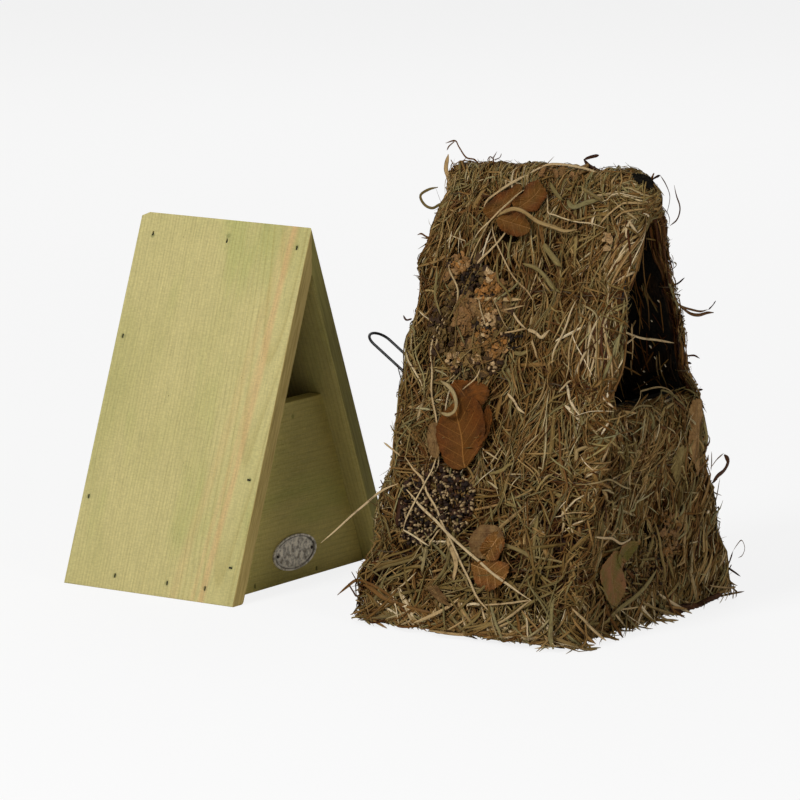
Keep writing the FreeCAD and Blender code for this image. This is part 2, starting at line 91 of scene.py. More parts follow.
def add_world(strength):
    world = bpy.data.worlds.new("studio")
    world.use_nodes = True
    scene.world = world
    nodes = world.node_tree.nodes
    links = world.node_tree.links
    nodes.clear()
    out = nodes.new("ShaderNodeOutputWorld")
    lit = nodes.new("ShaderNodeBackground")
    seen = nodes.new("ShaderNodeBackground")
    blend = nodes.new("ShaderNodeMixShader")
    path = nodes.new("ShaderNodeLightPath")
    lit.inputs["Color"].default_value = (1, 1, 1, 1)
    lit.inputs["Strength"].default_value = strength
    seen.inputs["Color"].default_value = BACKGROUND
    seen.inputs["Strength"].default_value = 1
    links.new(path.outputs["Is Camera Ray"], blend.inputs[0])
    links.new(lit.outputs[0], blend.inputs[1])
    links.new(seen.outputs[0], blend.inputs[2])
    links.new(blend.outputs[0], out.inputs[0])


FLOOR_REACH = 30
# The share of even white that the camera sees in place of the lit floor
FLOOR_GLOW = 0.84


def add_floor():
    corners = [(x * FLOOR_REACH, y * FLOOR_REACH, 0) for x, y in ((-1, -1), (1, -1), (1, 1), (-1, 1))]
    mesh = bpy.data.meshes.new("floor")
    mesh.from_pydata(corners, [], [(0, 1, 2, 3)])
    floor = bpy.data.objects.new("floor", mesh)
    scene.collection.objects.link(floor)
    material = bpy.data.materials.new("floor")
    material.use_nodes = True
    nodes = material.node_tree.nodes
    links = material.node_tree.links
    nodes.clear()
    out = nodes.new("ShaderNodeOutputMaterial")
    matte = nodes.new("ShaderNodeBsdfDiffuse")
    glow = nodes.new("ShaderNodeEmission")
    seen = nodes.new("ShaderNodeMixShader")
    path = nodes.new("ShaderNodeLightPath")
    share = nodes.new("ShaderNodeMath")
    share.operation = "MULTIPLY"
    share.inputs[1].default_value = FLOOR_GLOW
    matte.inputs["Color"].default_value = (0.9, 0.9, 0.9, 1)
    glow.inputs["Color"].default_value = (1, 1, 1, 1)
    links.new(path.outputs["Is Camera Ray"], share.inputs[0])
    links.new(share.outputs[0], seen.inputs[0])
    links.new(matte.outputs[0], seen.inputs[1])
    links.new(glow.outputs[0], seen.inputs[2])
    links.new(seen.outputs[0], out.inputs[0])
    mesh.materials.append(material)


add_camera()
add_world(strength=0.25)
add_lamp("key", (-2.4, 0.1, 1.9), (0, -0.1, 0.12), size=0.9, power=50)
add_lamp("fill", (-0.6, -2.6, 1.1), (0, -0.2, 0.1), size=0.7, power=9)
add_lamp("rim", (2.2, 1.4, 1.8), (0, -0.1, 0.1), size=1.6, power=14)
add_floor()


# Materials

def srgb(r, g, b):
    def linear(v):
        v /= 255
        return v / 12.92 if v <= 0.04045 else ((v + 0.055) / 1.055) ** 2.4
    return (linear(r), linear(g), linear(b), 1)


class Shader:
    """A material with short calls for its nodes, which take numbers, colours or other nodes' outputs."""

    def __init__(self, name, roughness=0.6, metallic=0.0, specular=0.5):
        self.material = bpy.data.materials.new(name)
        self.material.use_nodes = True
        self.tree = self.material.node_tree
        self.bsdf = self.tree.nodes["Principled BSDF"]
        self.bsdf.inputs["Roughness"].default_value = roughness
        self.bsdf.inputs["Metallic"].default_value = metallic
        self.bsdf.inputs["Specular IOR Level"].default_value = specular

    def put(self, value, socket):
        if isinstance(value, bpy.types.NodeSocket):
            self.tree.links.new(value, socket)
        elif isinstance(value, (int, float)) and hasattr(socket.default_value, "__len__"):
            socket.default_value = (value,) * len(socket.default_value)
        else:
            socket.default_value = value

    def node(self, kind, **settings):
        made = self.tree.nodes.new("ShaderNode" + kind)
        for key, value in settings.items():
            setattr(made, key, value)
        return made

    def math(self, operation, a, b=0.0):
        made = self.node("Math", operation=operation)
        self.put(a, made.inputs[0])
        self.put(b, made.inputs[1])
        return made.outputs[0]

    def plus(self, a, b):
        return self.math("ADD", a, b)

    def minus(self, a, b):
        return self.math("SUBTRACT", a, b)

    def times(self, a, b):
        return self.math("MULTIPLY", a, b)

    def apart(self, a, b):
        return self.math("ABSOLUTE", self.minus(a, b))

    def rising(self, value, low, high):
        """0 below low, 1 above high, and smooth between."""
        made = self.node("MapRange", interpolation_type="SMOOTHSTEP")
        self.put(value, made.inputs["Value"])
        made.inputs["From Min"].default_value = low
        made.inputs["From Max"].default_value = high
        return made.outputs["Result"]

    def falling(self, value, low, high):
        """1 below low, 0 above high, and smooth between."""
        return self.minus(1.0, self.rising(value, low, high))

    def vector(self, operation, a, b=(0, 0, 0)):
        made = self.node("VectorMath", operation=operation)
        self.put(a, made.inputs[0])
        self.put(b, made.inputs[1])
        return made.outputs["Value" if operation in ("DOT_PRODUCT", "LENGTH", "DISTANCE") else "Vector"]

    def joined(self, x, y, z):
        made = self.node("CombineXYZ")
        for value, socket in zip((x, y, z), made.inputs):
            self.put(value, socket)
        return made.outputs[0]

    def stretched(self, parts, *scales):
        """A place for noise, from its three parts, each scaled."""
        return self.joined(*(self.times(part, scale) for part, scale in zip(parts, scales)))

    def noise(self, vector, scale, detail=3.0, roughness=0.55, distortion=0.0):
        made = self.node("TexNoise")
        self.put(vector, made.inputs["Vector"])
        self.put(scale, made.inputs["Scale"])
        self.put(detail, made.inputs["Detail"])
        self.put(roughness, made.inputs["Roughness"])
        self.put(distortion, made.inputs["Distortion"])
        return made.outputs["Fac"]

    def ramp(self, value, *stops, ease="LINEAR"):
        made = self.node("ValToRGB")
        ramp = made.color_ramp
        ramp.interpolation = ease
        while len(ramp.elements) < len(stops):
            ramp.elements.new(0.5)
        for element, (place, colour) in zip(ramp.elements, stops):
            element.position = place
            element.color = colour if hasattr(colour, "__len__") else (colour, colour, colour, 1)
        self.put(value, made.inputs[0])
        return made.outputs[0]

    def mix(self, share, a, b, blend="MIX"):
        made = self.node("Mix", data_type="RGBA", blend_type=blend)
        self.put(share, made.inputs["Factor"])
        self.put(a, made.inputs[6])
        self.put(b, made.inputs[7])
        return made.outputs[2]

    def over(self, base, colour, share, strength):
        """base with a colour laid over it by share times strength."""
        return self.mix(self.times(share, strength), base, colour)

    def attribute(self, name):
        return self.node("Attribute", attribute_name=name).outputs["Fac"]

    def place(self):
        return self.node("TexCoord").outputs["Object"]

    def colour(self, value):
        self.put(value, self.bsdf.inputs["Base Color"])

    def roughness(self, value):
        self.put(value, self.bsdf.inputs["Roughness"])

    def bump(self, height, distance, strength=1.0):
        made = self.node("Bump")
        self.put(height, made.inputs["Height"])
        made.inputs["Distance"].default_value = distance
        made.inputs["Strength"].default_value = strength
        self.put(made.outputs[0], self.bsdf.inputs["Normal"])


BOX_HEIGHT = 260
BOX_HALF_WIDTH = 100
ROOF_ANGLE = math.atan2(BOX_HALF_WIDTH, BOX_HEIGHT)


def roof_axes(side):
    """Up the slope, along the ridge and out of the face of the left (-1) or right (1) roof board."""
    return ((-side * math.sin(ROOF_ANGLE), 0, math.cos(ROOF_ANGLE)), (0, 1, 0),
            (side * math.cos(ROOF_ANGLE), 0, math.sin(ROOF_ANGLE)))


# Across a roof board, in metres: its dull front end lies below the first, and its faces above the second
BOARD_FRONT = (-0.07592, -0.07565)


def pine(name, axes, pith, spread, tilt, nails=(), blushes=(), shift=0.0, rings=0.45, painted_shade=None, end=None):
    """Sawn pine whose growth rings lie round a pith line near the grain direction.

    axes point along the grain, across the board and out of its face. pith is the line's place across the
    board and behind its face, spread the width of a ring, and tilt the line's slope out of the board. nails
    are the places of nail heads and blushes lines of pinker wood: place across at the foot, drift for each
    metre up, half width and strength. painted_shade darkens the whole board as painted shade, and end its
    front end."""
    s = Shader(name, roughness=0.66, specular=0.22)
    p = s.place()
    a, c, d = [s.vector("DOT_PRODUCT", p, axis) for axis in axes]
    a = s.plus(a, shift)
    board = (a, c, d)
    slow = s.stretched(board, 3.0, 9.0, 9.0)
    wander = s.minus(s.noise(slow, 1.6, 2.0), 0.5)
    bend = s.minus(s.noise(s.vector("ADD", slow, (3.1, 7.7, 1.3)), 0.9, 1.0), 0.5)
    cc = s.plus(s.minus(c, pith[0]), s.times(bend, 0.022))
    dd = s.plus(s.plus(d, pith[1]), s.times(a, tilt))
    radius = s.math("SQRT", s.plus(s.times(cc, cc), s.times(dd, dd)))
    radius = s.plus(radius, s.times(wander, 0.0050))
    turns = s.math("DIVIDE", radius, spread)
    late = s.ramp(s.math("FRACT", turns), (0.0, 0.12), (0.5, 0.2), (0.86, 1.0), (0.97, 0.25), ease="EASE")
    which = s.noise(s.joined(s.math("FLOOR", turns), 0.0, 0.0), 1.7, 0.0)
    late = s.times(late, s.plus(0.25, s.times(which, 1.1)))
    fibre = s.noise(s.stretched(board, 60.0, 1700.0, 1700.0), 1.0, 3.0, 0.65)
    patch = s.noise(s.stretched(board, 7.0, 16.0, 16.0), 1.0, 3.0)
    base = s.mix(s.rising(patch, 0.34, 0.68), srgb(202, 190, 130), srgb(188, 180, 118))
    green = s.rising(s.noise(s.stretched(board, 6.0, 24.0, 1.0), 1.0, 3.0), 0.54, 0.74)
    base = s.over(base, srgb(164, 172, 96), green, 0.5)
    base = s.over(base, srgb(160, 142, 78), late, rings)
    for place, drift, half, strength in blushes:
        off = s.minus(s.minus(c, place), s.times(a, drift))
        off = s.plus(off, s.times(wander, 0.016))
        near = s.falling(s.math("ABSOLUTE", off), half * 0.15, half)
        base = s.over(base, srgb(214, 166, 116), near, strength)
    streak = s.ramp(fibre, (0.28, 0.74), (0.52, 1.0), (0.8, 1.16))
    base = s.mix(0.75, base, streak, "MULTIPLY")
    sawn = s.noise(s.stretched(board, 950.0, 340.0, 340.0), 1.0, 2.0)
    base = s.mix(0.55, base, s.ramp(sawn, (0.3, 0.82), (0.7, 1.16)), "MULTIPLY")
    speck = s.noise(s.stretched(board, 260.0, 700.0, 700.0), 1.0, 1.0)
    base = s.mix(s.rising(speck, 0.79, 0.85), base, srgb(104, 92, 44))
    ragged = s.times(s.minus(s.noise(p, 900.0, 2.0), 0.5), 0.002)
    for nail in nails:
        mark = s.falling(s.plus(s.vector("DISTANCE", p, nail), ragged), 0.0008, 0.0026)
        base = s.over(base, srgb(92, 104, 52), mark, 0.5)
    # Painted shade: the whole board's colour multiplied by a darker one.
    if painted_shade:
        base = s.mix(1.0, base, painted_shade, "MULTIPLY")
    if end:
        weathered = s.noise(s.stretched(board, 34.0, 90.0, 620.0), 1.0, 4.0, 0.6)
        dull = s.mix(s.rising(weathered, 0.35, 0.7), end[0], end[1])
        base = s.mix(s.falling(c, *BOARD_FRONT), base, dull)
    s.colour(base)
    s.roughness(s.plus(0.58, s.times(fibre, 0.16)))
    s.bump(s.plus(s.times(fibre, 0.8), s.times(late, 0.3)), 0.00030, 0.9)
    return s.material


def plain_metal(name, colour, dark, roughness, metallic):
    s = Shader(name, roughness=roughness, metallic=metallic)
    worn = s.noise(s.place(), 900.0, 3.0)
    s.colour(s.mix(s.rising(worn, 0.35, 0.65), colour, dark))
    s.roughness(s.plus(roughness - 0.1, s.times(worn, 0.22)))
    s.bump(worn, 0.00008, 0.6)
    return s.material


def give(node, material):
    """Puts a material on a CAD node."""
    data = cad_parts[node].data
    data.materials.clear()
    data.materials.append(material)


# Nails: a roof board's as y and z in millimetres, and the end panels' as points in metres
SIDE_NAILS = ((62, 244), (-5, 249), (-67, 246), (70, 173), (70, 61), (-68, 86), (-68, 26), (32, 10),
              (-15, 10), (-49, 10))
FRONT_NAILS = ((-0.048, -0.058, 0.004), (0.028, -0.058, 0.004), (0.0002, -0.058, 0.121))
BACK_NAILS = ((-0.045, 0.076, 0.004), (0.045, 0.076, 0.004))


def roof_nails(side):
    return [(side * (BOX_HEIGHT - z) * math.tan(ROOF_ANGLE) * MM, y * MM, z * MM) for y, z in SIDE_NAILS]


# Lines of pinker wood in the left roof board, as pine takes them
LEFT_BLUSHES = ((-0.052, -0.050, 0.0042, 0.42), (-0.045, -0.075, 0.0030, 0.22),
                (-0.030, -0.120, 0.0060, 0.16))


def dress_timber():
    face = BOX_HEIGHT * math.sin(ROOF_ANGLE) * MM
    give("roof_board_left",
         pine("pine_left", roof_axes(-1), (-0.060, 0.036 - face), 0.0026, -0.034, roof_nails(-1),
              LEFT_BLUSHES, rings=0.42, end=(srgb(196, 172, 104), srgb(168, 144, 82))))
    # The right roof board is darkened all over as painted shade, and its front end's colours are darker as
    # painted shade too.
    give("roof_board_right",
         pine("pine_right", roof_axes(1), (0.035, 0.05 - face), 0.0028, 0.022, roof_nails(1)[3:], shift=0.3,
              rings=0.42, painted_shade=(0.80, 0.76, 0.60, 1), end=(srgb(150, 140, 74), srgb(128, 118, 60))))
    # The front panel is darkened as painted shade, for the shade in its recess under the roof boards.
    give("front_panel",
         pine("pine_front", ((1, 0, 0), (0, 0, 1), (0, -1, 0)), (0.18, -0.02), 0.0030, 0.02, FRONT_NAILS,
              shift=1.7, rings=0.26, painted_shade=(0.95, 0.89, 0.64, 1)))
    give("back_panel",
         pine("pine_back", ((1, 0, 0), (0, 0, 1), (0, 1, 0)), (0.07, -0.04), 0.0030, 0.03, BACK_NAILS,
              shift=4.2, rings=0.36))
    give("floor_board",
         pine("pine_floor", ((1, 0, 0), (0, 1, 0), (0, 0, 1)), (0.02, 0.02), 0.0032, 0.03, shift=6.1))
    brad = plain_metal("brad_steel", srgb(70, 74, 62), srgb(42, 40, 30), 0.55, 0.7)
    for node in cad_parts:
        if node.endswith("nails"):
            give(node, brad)
    give("plate_pins", plain_metal("pin_steel", srgb(92, 86, 78), srgb(48, 42, 38), 0.5, 0.8))
    give("oval_plate", pewter())


def pewter():
    """Cast grey metal, darker in its rim groove and in blotches. The dark blotches are patina, and the pale
    ones between them are painted highlights.
    """
    s = Shader("pewter", roughness=0.46, metallic=0.45)
    p = s.place()
    low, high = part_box("oval_plate")
    middle = (low + high) / 2
    half = (high - low) / 2
    local = s.vector("SUBTRACT", p, tuple(middle))
    radius = s.vector("LENGTH", s.vector("MULTIPLY", local, (1 / half.x, 0, 1 / half.z)))
    groove = s.falling(s.apart(radius, 0.885), 0.0, 0.05)
    bright = s.falling(s.apart(radius, 0.80), 0.0, 0.04)
    blotch = s.noise(p, 270.0, 4.0, 0.6)
    fine = s.noise(p, 2200.0, 2.0)
    # Patina and painted highlight: the dark end is patina, and the near-white end stands for light on the
    # plate's relief.
    base = s.mix(s.rising(blotch, 0.36, 0.68), srgb(240, 231, 212), srgb(134, 124, 108))
    base = s.over(base, srgb(58, 50, 44), groove, 0.8)
    base = s.over(base, srgb(226, 220, 204), bright, 0.55)
    s.colour(base)
    s.roughness(s.plus(0.34, s.times(fine, 0.22)))
    s.bump(s.plus(blotch, s.times(fine, 0.4)), 0.00025, 0.8)
    return s.material


dress_timber()


# Meshes

def new_piece(name, points, faces, material, attributes=None, smooth=False, uv=None):
    """A piece of the cover from points in millimetres. attributes are one number for each point."""
    mesh = bpy.data.meshes.new(name)
    points = np.asarray(points, dtype=np.float64) * MM
    if isinstance(faces, np.ndarray):
        count, size = faces.shape
        mesh.vertices.add(len(points))
        mesh.vertices.foreach_set("co", points.ravel())
        mesh.loops.add(count * size)
        mesh.loops.foreach_set("vertex_index", faces.ravel())
        mesh.polygons.add(count)
        mesh.polygons.foreach_set("loop_start", np.arange(count) * size)
        mesh.update(calc_edges=True)
    else:
        mesh.from_pydata(points.tolist(), [], faces)
    for key, values in (attributes or {}).items():
        layer = mesh.attributes.new(key, "FLOAT", "POINT")
        layer.data.foreach_set("value", np.asarray(values, dtype=np.float32))
    if uv is not None:
        layer = mesh.uv_layers.new(name="OFBake")
        layer.data.foreach_set("uv", np.asarray(uv, dtype=np.float32).ravel())
    mesh.polygons.foreach_set("use_smooth", [smooth] * len(mesh.polygons))
    mesh.materials.append(material)
    mesh.validate()
    piece = bpy.data.objects.new(name, mesh)
    scene.collection.objects.link(piece)
    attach(piece, "cover")
    return piece


# The cover's surface, from the CAD nodes that the hay stands for

left_low, left_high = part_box("hay_left_wall")
_, right_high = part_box("hay_right_wall")
crown_low, crown_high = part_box("hay_crown")
COVER_X = (left_low.x + right_high.x) / 2 / MM
COVER_Y = (left_low.y + left_high.y) / 2 / MM
HALF_WIDTH = (right_high.x - left_low.x) / 2 / MM
HALF_DEPTH = (left_high.y - left_low.y) / 2 / MM
COVER_TOP = crown_high.z / MM
WALL_TOP = left_high.z / MM
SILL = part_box("hay_front_sill")[1].z / MM
SIDE_SLOPE = (HALF_WIDTH - (crown_high.x - crown_low.x) / 2 / MM) / WALL_TOP
END_SLOPE = 4.0 / COVER_TOP
LEAN = math.atan(SIDE_SLOPE)
CORNER = 8.0
RIDGE_CENTRE = (COVER_TOP - HALF_WIDTH * math.cos(LEAN)) / (1 - SIDE_SLOPE * math.cos(LEAN))
RIDGE_ROUND = COVER_TOP - RIDGE_CENTRE
RIDGE_START = (RIDGE_CENTRE + RIDGE_ROUND * math.sin(LEAN)) / math.cos(LEAN)
RIDGE_TURN = math.pi / 2 - LEAN
RIDGE_TOP = RIDGE_START + RIDGE_ROUND * RIDGE_TURN
BINDING_ROWS = (49.0, 111.0, 173.0, 235.0, 297.0)
APEX = 284.0
# Where the rear swells: height, spread and size
REAR_SWELL = ((242, 13, 6.0), (132, 18, 4.0), (30, 20, 7.0))


def side_profile(v):
    """Outward place, height and the two parts of the outward direction, at v up a side and over the ridge."""
    turn = np.clip((v - RIDGE_START) / RIDGE_ROUND, 0, 2 * RIDGE_TURN)
    over = np.maximum(v - RIDGE_START - 2 * RIDGE_TURN * RIDGE_ROUND, 0)
    straight = np.minimum(v, RIDGE_START)
    angle = LEAN + turn
    out = np.cos(angle)
    up = np.sin(angle)
    x = np.where(turn > 0, RIDGE_ROUND * out, HALF_WIDTH - straight * math.sin(LEAN))
    z = np.where(turn > 0, RIDGE_CENTRE + RIDGE_ROUND * up, straight * math.cos(LEAN))
    return x - over * math.sin(LEAN), z - over * math.cos(LEAN), out, up


def end_profile(v):
    """As side_profile, for the front and back walls."""
    x = HALF_DEPTH - END_SLOPE * v
    return x, v, np.full_like(v, math.cos(END_SLOPE)), np.full_like(v, math.sin(END_SLOPE))


def half_width(z):
    return HALF_WIDTH - SIDE_SLOPE * z


def half_depth(z):
    return HALF_DEPTH - END_SLOPE * z


# Each wall's profile, half width at a height, ways out and along, lean, and how far out its foot stands
WALLS = {
    "left": (side_profile, half_depth, (-1, 0, 0), (0, -1, 0), LEAN, HALF_WIDTH),
    "right": (side_profile, half_depth, (1, 0, 0), (0, 1, 0), LEAN, HALF_WIDTH),
    "front": (end_profile, half_width, (0, -1, 0), (1, 0, 0), END_SLOPE, HALF_DEPTH),
    "back": (end_profile, half_width, (0, 1, 0), (-1, 0, 0), END_SLOPE, HALF_DEPTH),
}


def lumps(points):
    """Slow unevenness of the hay, in millimetres outwards."""
    x, y, z = points[..., 0], points[..., 1], points[..., 2]
    slow = (np.sin(x * 0.031 + z * 0.045 + 1.3) + np.sin(y * 0.052 - z * 0.033 + 4.1)
            + np.sin(z * 0.071 + y * 0.02))
    quick = np.sin(x * 0.11 + y * 0.13 + 0.7) * np.sin(z * 0.12 + y * 0.05)
    rows = sum(np.exp(-((z - row) / 9.0) ** 2) for row in BINDING_ROWS)
    return 1.1 * slow + 1.3 * quick - 2.2 * rows


def settle(place):
    """Slumps the cover: its top rear corner is drawn in, both ends of its ridge droop, its rear swells and
    its right side is drawn in low down.
    """
    x, y, z = place[..., 0], place[..., 1], place[..., 2]
    rear = np.clip(y / HALF_DEPTH, 0, 1)
    front = np.clip((-y - 56) / 31, 0, 1)
    right = np.clip(x / 60, 0, 1)
    swell = sum(size * np.exp(-((z - at) / wide) ** 2) for at, wide, size in REAR_SWELL)
    place[..., 1] += rear ** 3 * swell - 5.0 * rear * np.clip((z - 225) / 85, 0, 1) ** 1.2
    place[..., 0] -= 4.0 * right * np.exp(-((z - 75) / 35) ** 2)
    place[..., 2] -= (4.5 * rear ** 0.8 * np.clip((z - 262) / 50, 0, 1)
                      + 7.0 * front ** 2 * np.clip((z - 280) / 34, 0, 1))
    return place


def on_wall(wall, t, v, lift, fold=False):
    """Points at t along a wall from its middle and v up it, lift above the hay, and the outward direction.

    t may run on round the wall's corners. With fold, v runs on over the front sill's lip."""
    profile, half, out_axis, along_axis, _, _ = WALLS[wall]
    t, v, lift = np.broadcast_arrays(np.asarray(t, float), np.asarray(v, float), np.asarray(lift, float))
    level = np.minimum(v, SILL - 5.0) if fold else v
    x, z, out, up = profile(level)
    flat = np.maximum(half(z) - CORNER, 0)
    past = np.maximum(np.abs(t) - flat, 0)
    angle = np.minimum(past / CORNER, math.pi / 2)
    further = np.maximum(past - CORNER * math.pi / 2, 0)
    sign = np.sign(t)
    sink = CORNER * (np.cos(angle) - 1) - further + lift * np.cos(angle)
    along = sign * (np.minimum(np.abs(t), flat) + (CORNER + lift) * np.sin(angle))
    if fold:
        beyond = np.maximum(v - level, 0)
        tip = np.minimum(beyond / 5.0, math.pi / 2 + 0.6)
        sink = sink + (5.0 + lift) * (np.cos(tip) - 1) - np.maximum(beyond / 5.0 - tip, 0) * 5.0
        z = z + (5.0 + lift) * np.sin(tip)
    normal_out = out * np.cos(angle)
    normal_along = sign * np.sin(angle)
    out_axis = np.array(out_axis, float)
    along_axis = np.array(along_axis, float)
    place = (x + sink * out)[..., None] * out_axis + along[..., None] * along_axis
    place[..., 2] += z + sink * up
    normal = normal_out[..., None] * out_axis + normal_along[..., None] * along_axis
    normal[..., 2] += up * np.cos(angle)
    normal /= np.linalg.norm(normal, axis=-1, keepdims=True)
    place = settle(place + normal * lumps(place)[..., None])
    place[..., 0] += COVER_X
    place[..., 1] += COVER_Y
    return place, normal


def beside_wall(wall, t, v, lift):
    """As on_wall, on the wall's flat plane carried on past its corners and top."""
    _, _, out_axis, along_axis, lean, reach = WALLS[wall]
    t, v, lift = np.broadcast_arrays(np.asarray(t, float), np.asarray(v, float), np.asarray(lift, float))
    out_axis = np.array(out_axis, float)
    normal = out_axis * math.cos(lean) + np.array((0, 0, math.sin(lean)))
    slope = np.array((0, 0, math.cos(lean))) - out_axis * math.sin(lean)
    place = (out_axis * reach + t[..., None] * np.array(along_axis, float) + v[..., None] * slope
             + lift[..., None] * normal)
    place[..., 0] += COVER_X
    place[..., 1] += COVER_Y
    return place, np.broadcast_to(normal, place.shape).copy()


def sighted(wall, places):
    """Where the camera's sight lines to places meet a wall's plane, as t and v."""
    corners, normals = beside_wall(wall, [0, 1, 0], [0, 0, 1], 0)
    origin, normal = corners[0], normals[0]
    eye = np.array(CAMERA_PLACE) / MM - origin
    ray = places - origin - eye
    hit = eye - ray * (eye @ normal / (ray @ normal))[..., None]
    return hit @ (corners[1] - origin), hit @ (corners[2] - origin)


def aimed(surface, wall, t, v, lift, whole=True, **options):
    """t and v moved so that what lies at lift is seen from the front where t and v are on the wall's plane.

    With whole, all of them move by the same amount, which keeps a straw or a leaf in shape."""
    t, v, lift = (np.asarray(value, float) for value in (t, v, lift))
    new_t, new_v = t, v
    for _ in range(3):
        place, _ = surface(wall, new_t, new_v, lift, **options)
        seen_t, seen_v = sighted(wall, place)
        move_t, move_v = t - seen_t, v - seen_v
        if whole:
            move_t, move_v = move_t.mean(), move_v.mean()
        new_t = new_t + np.clip(move_t, -4, 4)
        new_v = new_v + np.clip(move_v, -3, 3)
    return new_t, new_v


def smooth_path(points, count, closed=False):
    """A smooth curve through a few points, as count evenly spaced points."""
    points = np.asarray(points, float)
    if closed:
        ends = np.concatenate([points[-1:], points, points[:2]])
    else:
        ends = np.concatenate([2 * points[:1] - points[1:2], points, 2 * points[-1:] - points[-2:-1]])
    a, b, c, d = ends[:-3], ends[1:-2], ends[2:-1], ends[3:]
    s = np.linspace(0, 1, 24, endpoint=False)[None, :, None]
    a, b, c, d = a[:, None], b[:, None], c[:, None], d[:, None]
    fine = 0.5 * (2 * b + (c - a) * s + (2 * a - 5 * b + 4 * c - d) * s ** 2
                  + (3 * b - a - 3 * c + d) * s ** 3)
    fine = np.concatenate([fine.reshape(-1, points.shape[1]), points[:1] if closed else points[-1:]])
    reach = np.concatenate([[0], np.cumsum(np.linalg.norm(np.diff(fine, axis=0), axis=1))])
    want = np.linspace(0, reach[-1], count, endpoint=not closed)
    return np.stack([np.interp(want, reach, fine[:, k]) for k in range(points.shape[1])], 1)


# Blades of hay: each is a closed thin ridge of three long faces

def ribbon_arrays(paths, normals, widths, crown, twist):
    """Vertices and faces of many blades. paths and normals are blades x rings x 3, the rest 2-D."""
    count, rings, _ = paths.shape
    tangent = np.gradient(paths, axis=1)
    tangent /= np.maximum(np.linalg.norm(tangent, axis=-1, keepdims=True), 1e-9)
    normal = normals - tangent * (normals * tangent).sum(-1, keepdims=True)
    normal /= np.maximum(np.linalg.norm(normal, axis=-1, keepdims=True), 1e-9)
    side = np.cross(tangent, normal)
    c = np.cos(twist)[..., None]
    s = np.sin(twist)[..., None]
    side, normal = side * c + normal * s, normal * c - side * s
    w = widths[..., None] / 2
    top = paths + normal * (w * 2 * crown[..., None])
    vertices = np.stack([paths - side * w, paths + side * w, top], axis=2).reshape(-1, 3)
    base = (np.arange(count) * rings * 3)[:, None, None]
    ring = (np.arange(rings - 1) * 3)[None, :, None]
    a = np.array([0, 1, 2])[None, None, :]
    b = np.array([1, 2, 0])[None, None, :]
    near = base + ring
    far = near + 3
    quads = np.stack(np.broadcast_arrays(near + a, near + b, far + b, far + a), axis=-1).reshape(-1, 4)
    first = np.arange(count) * rings * 3
    last = first + (rings - 1) * 3
    caps = np.concatenate([np.stack([first + 2, first + 1, first], 1),
                           np.stack([last, last + 1, last + 2], 1)])
    return vertices, quads, caps


def blade_piece(name, blades):
    """One piece of many blades of hay, each with its own strip of the texture sheet."""
    paths, normals, widths, crown, twist, tone, shade = blades
    count, rings, _ = paths.shape
    vertices, quads, caps = ribbon_arrays(paths, normals, widths, crown, twist)
    vertices[:, 2] = np.maximum(vertices[:, 2], 0.05)
    faces = np.concatenate([quads[:, [0, 1, 2]], quads[:, [0, 2, 3]], caps])
    columns = int(math.ceil(math.sqrt(count * 5)))
    rows = int(math.ceil(count / columns))
    index = np.arange(count)
    cell_x = (index % columns) / columns
    cell_y = (index // columns) / rows
    ring_share = np.linspace(0.06, 0.94, rings)
    face_edges = np.array([0.08, 0.36, 0.64, 0.92])
    cells = np.zeros((1, rings, 4, 1))
    u = cell_x[:, None, None, None] + (face_edges[None, None, :, None] + cells) / columns
    v = cell_y[:, None, None, None] + (ring_share[None, :, None, None] + cells) / rows
    grid = np.concatenate([u, v], axis=-1)
    low = grid[:, :-1]
    high = grid[:, 1:]
    quad_uv = np.stack([low[:, :, :3], low[:, :, 1:], high[:, :, 1:], high[:, :, :3]], axis=3)
    quad_uv = quad_uv.reshape(-1, 4, 2)
    cap_uv = np.concatenate([grid[:, 0, [2, 1, 0]], grid[:, -1, [0, 1, 2]]])
    uv = np.concatenate([quad_uv[:, [0, 1, 2]], quad_uv[:, [0, 2, 3]], cap_uv])
    values = {"tone": np.repeat(tone, rings * 3), "shade": np.repeat(shade, rings * 3),
              "across": np.tile(np.array([-1.0, 1.0, 0.0]), count * rings),
              "along": np.repeat(np.tile(np.linspace(0, 1, rings), count), 3)}
    piece = new_piece(name, vertices, faces, hay_look, attributes=values, uv=uv)
    return piece


def blade_group(places, normals, widths, crown, twist, tones, shades):
    """The arrays of a group of blades. crown is one number, and twist has one for each blade or each ring."""
    shape = places.shape[:2]
    return places, normals, widths, np.full(shape, crown), np.broadcast_to(twist, shape), tones, shades


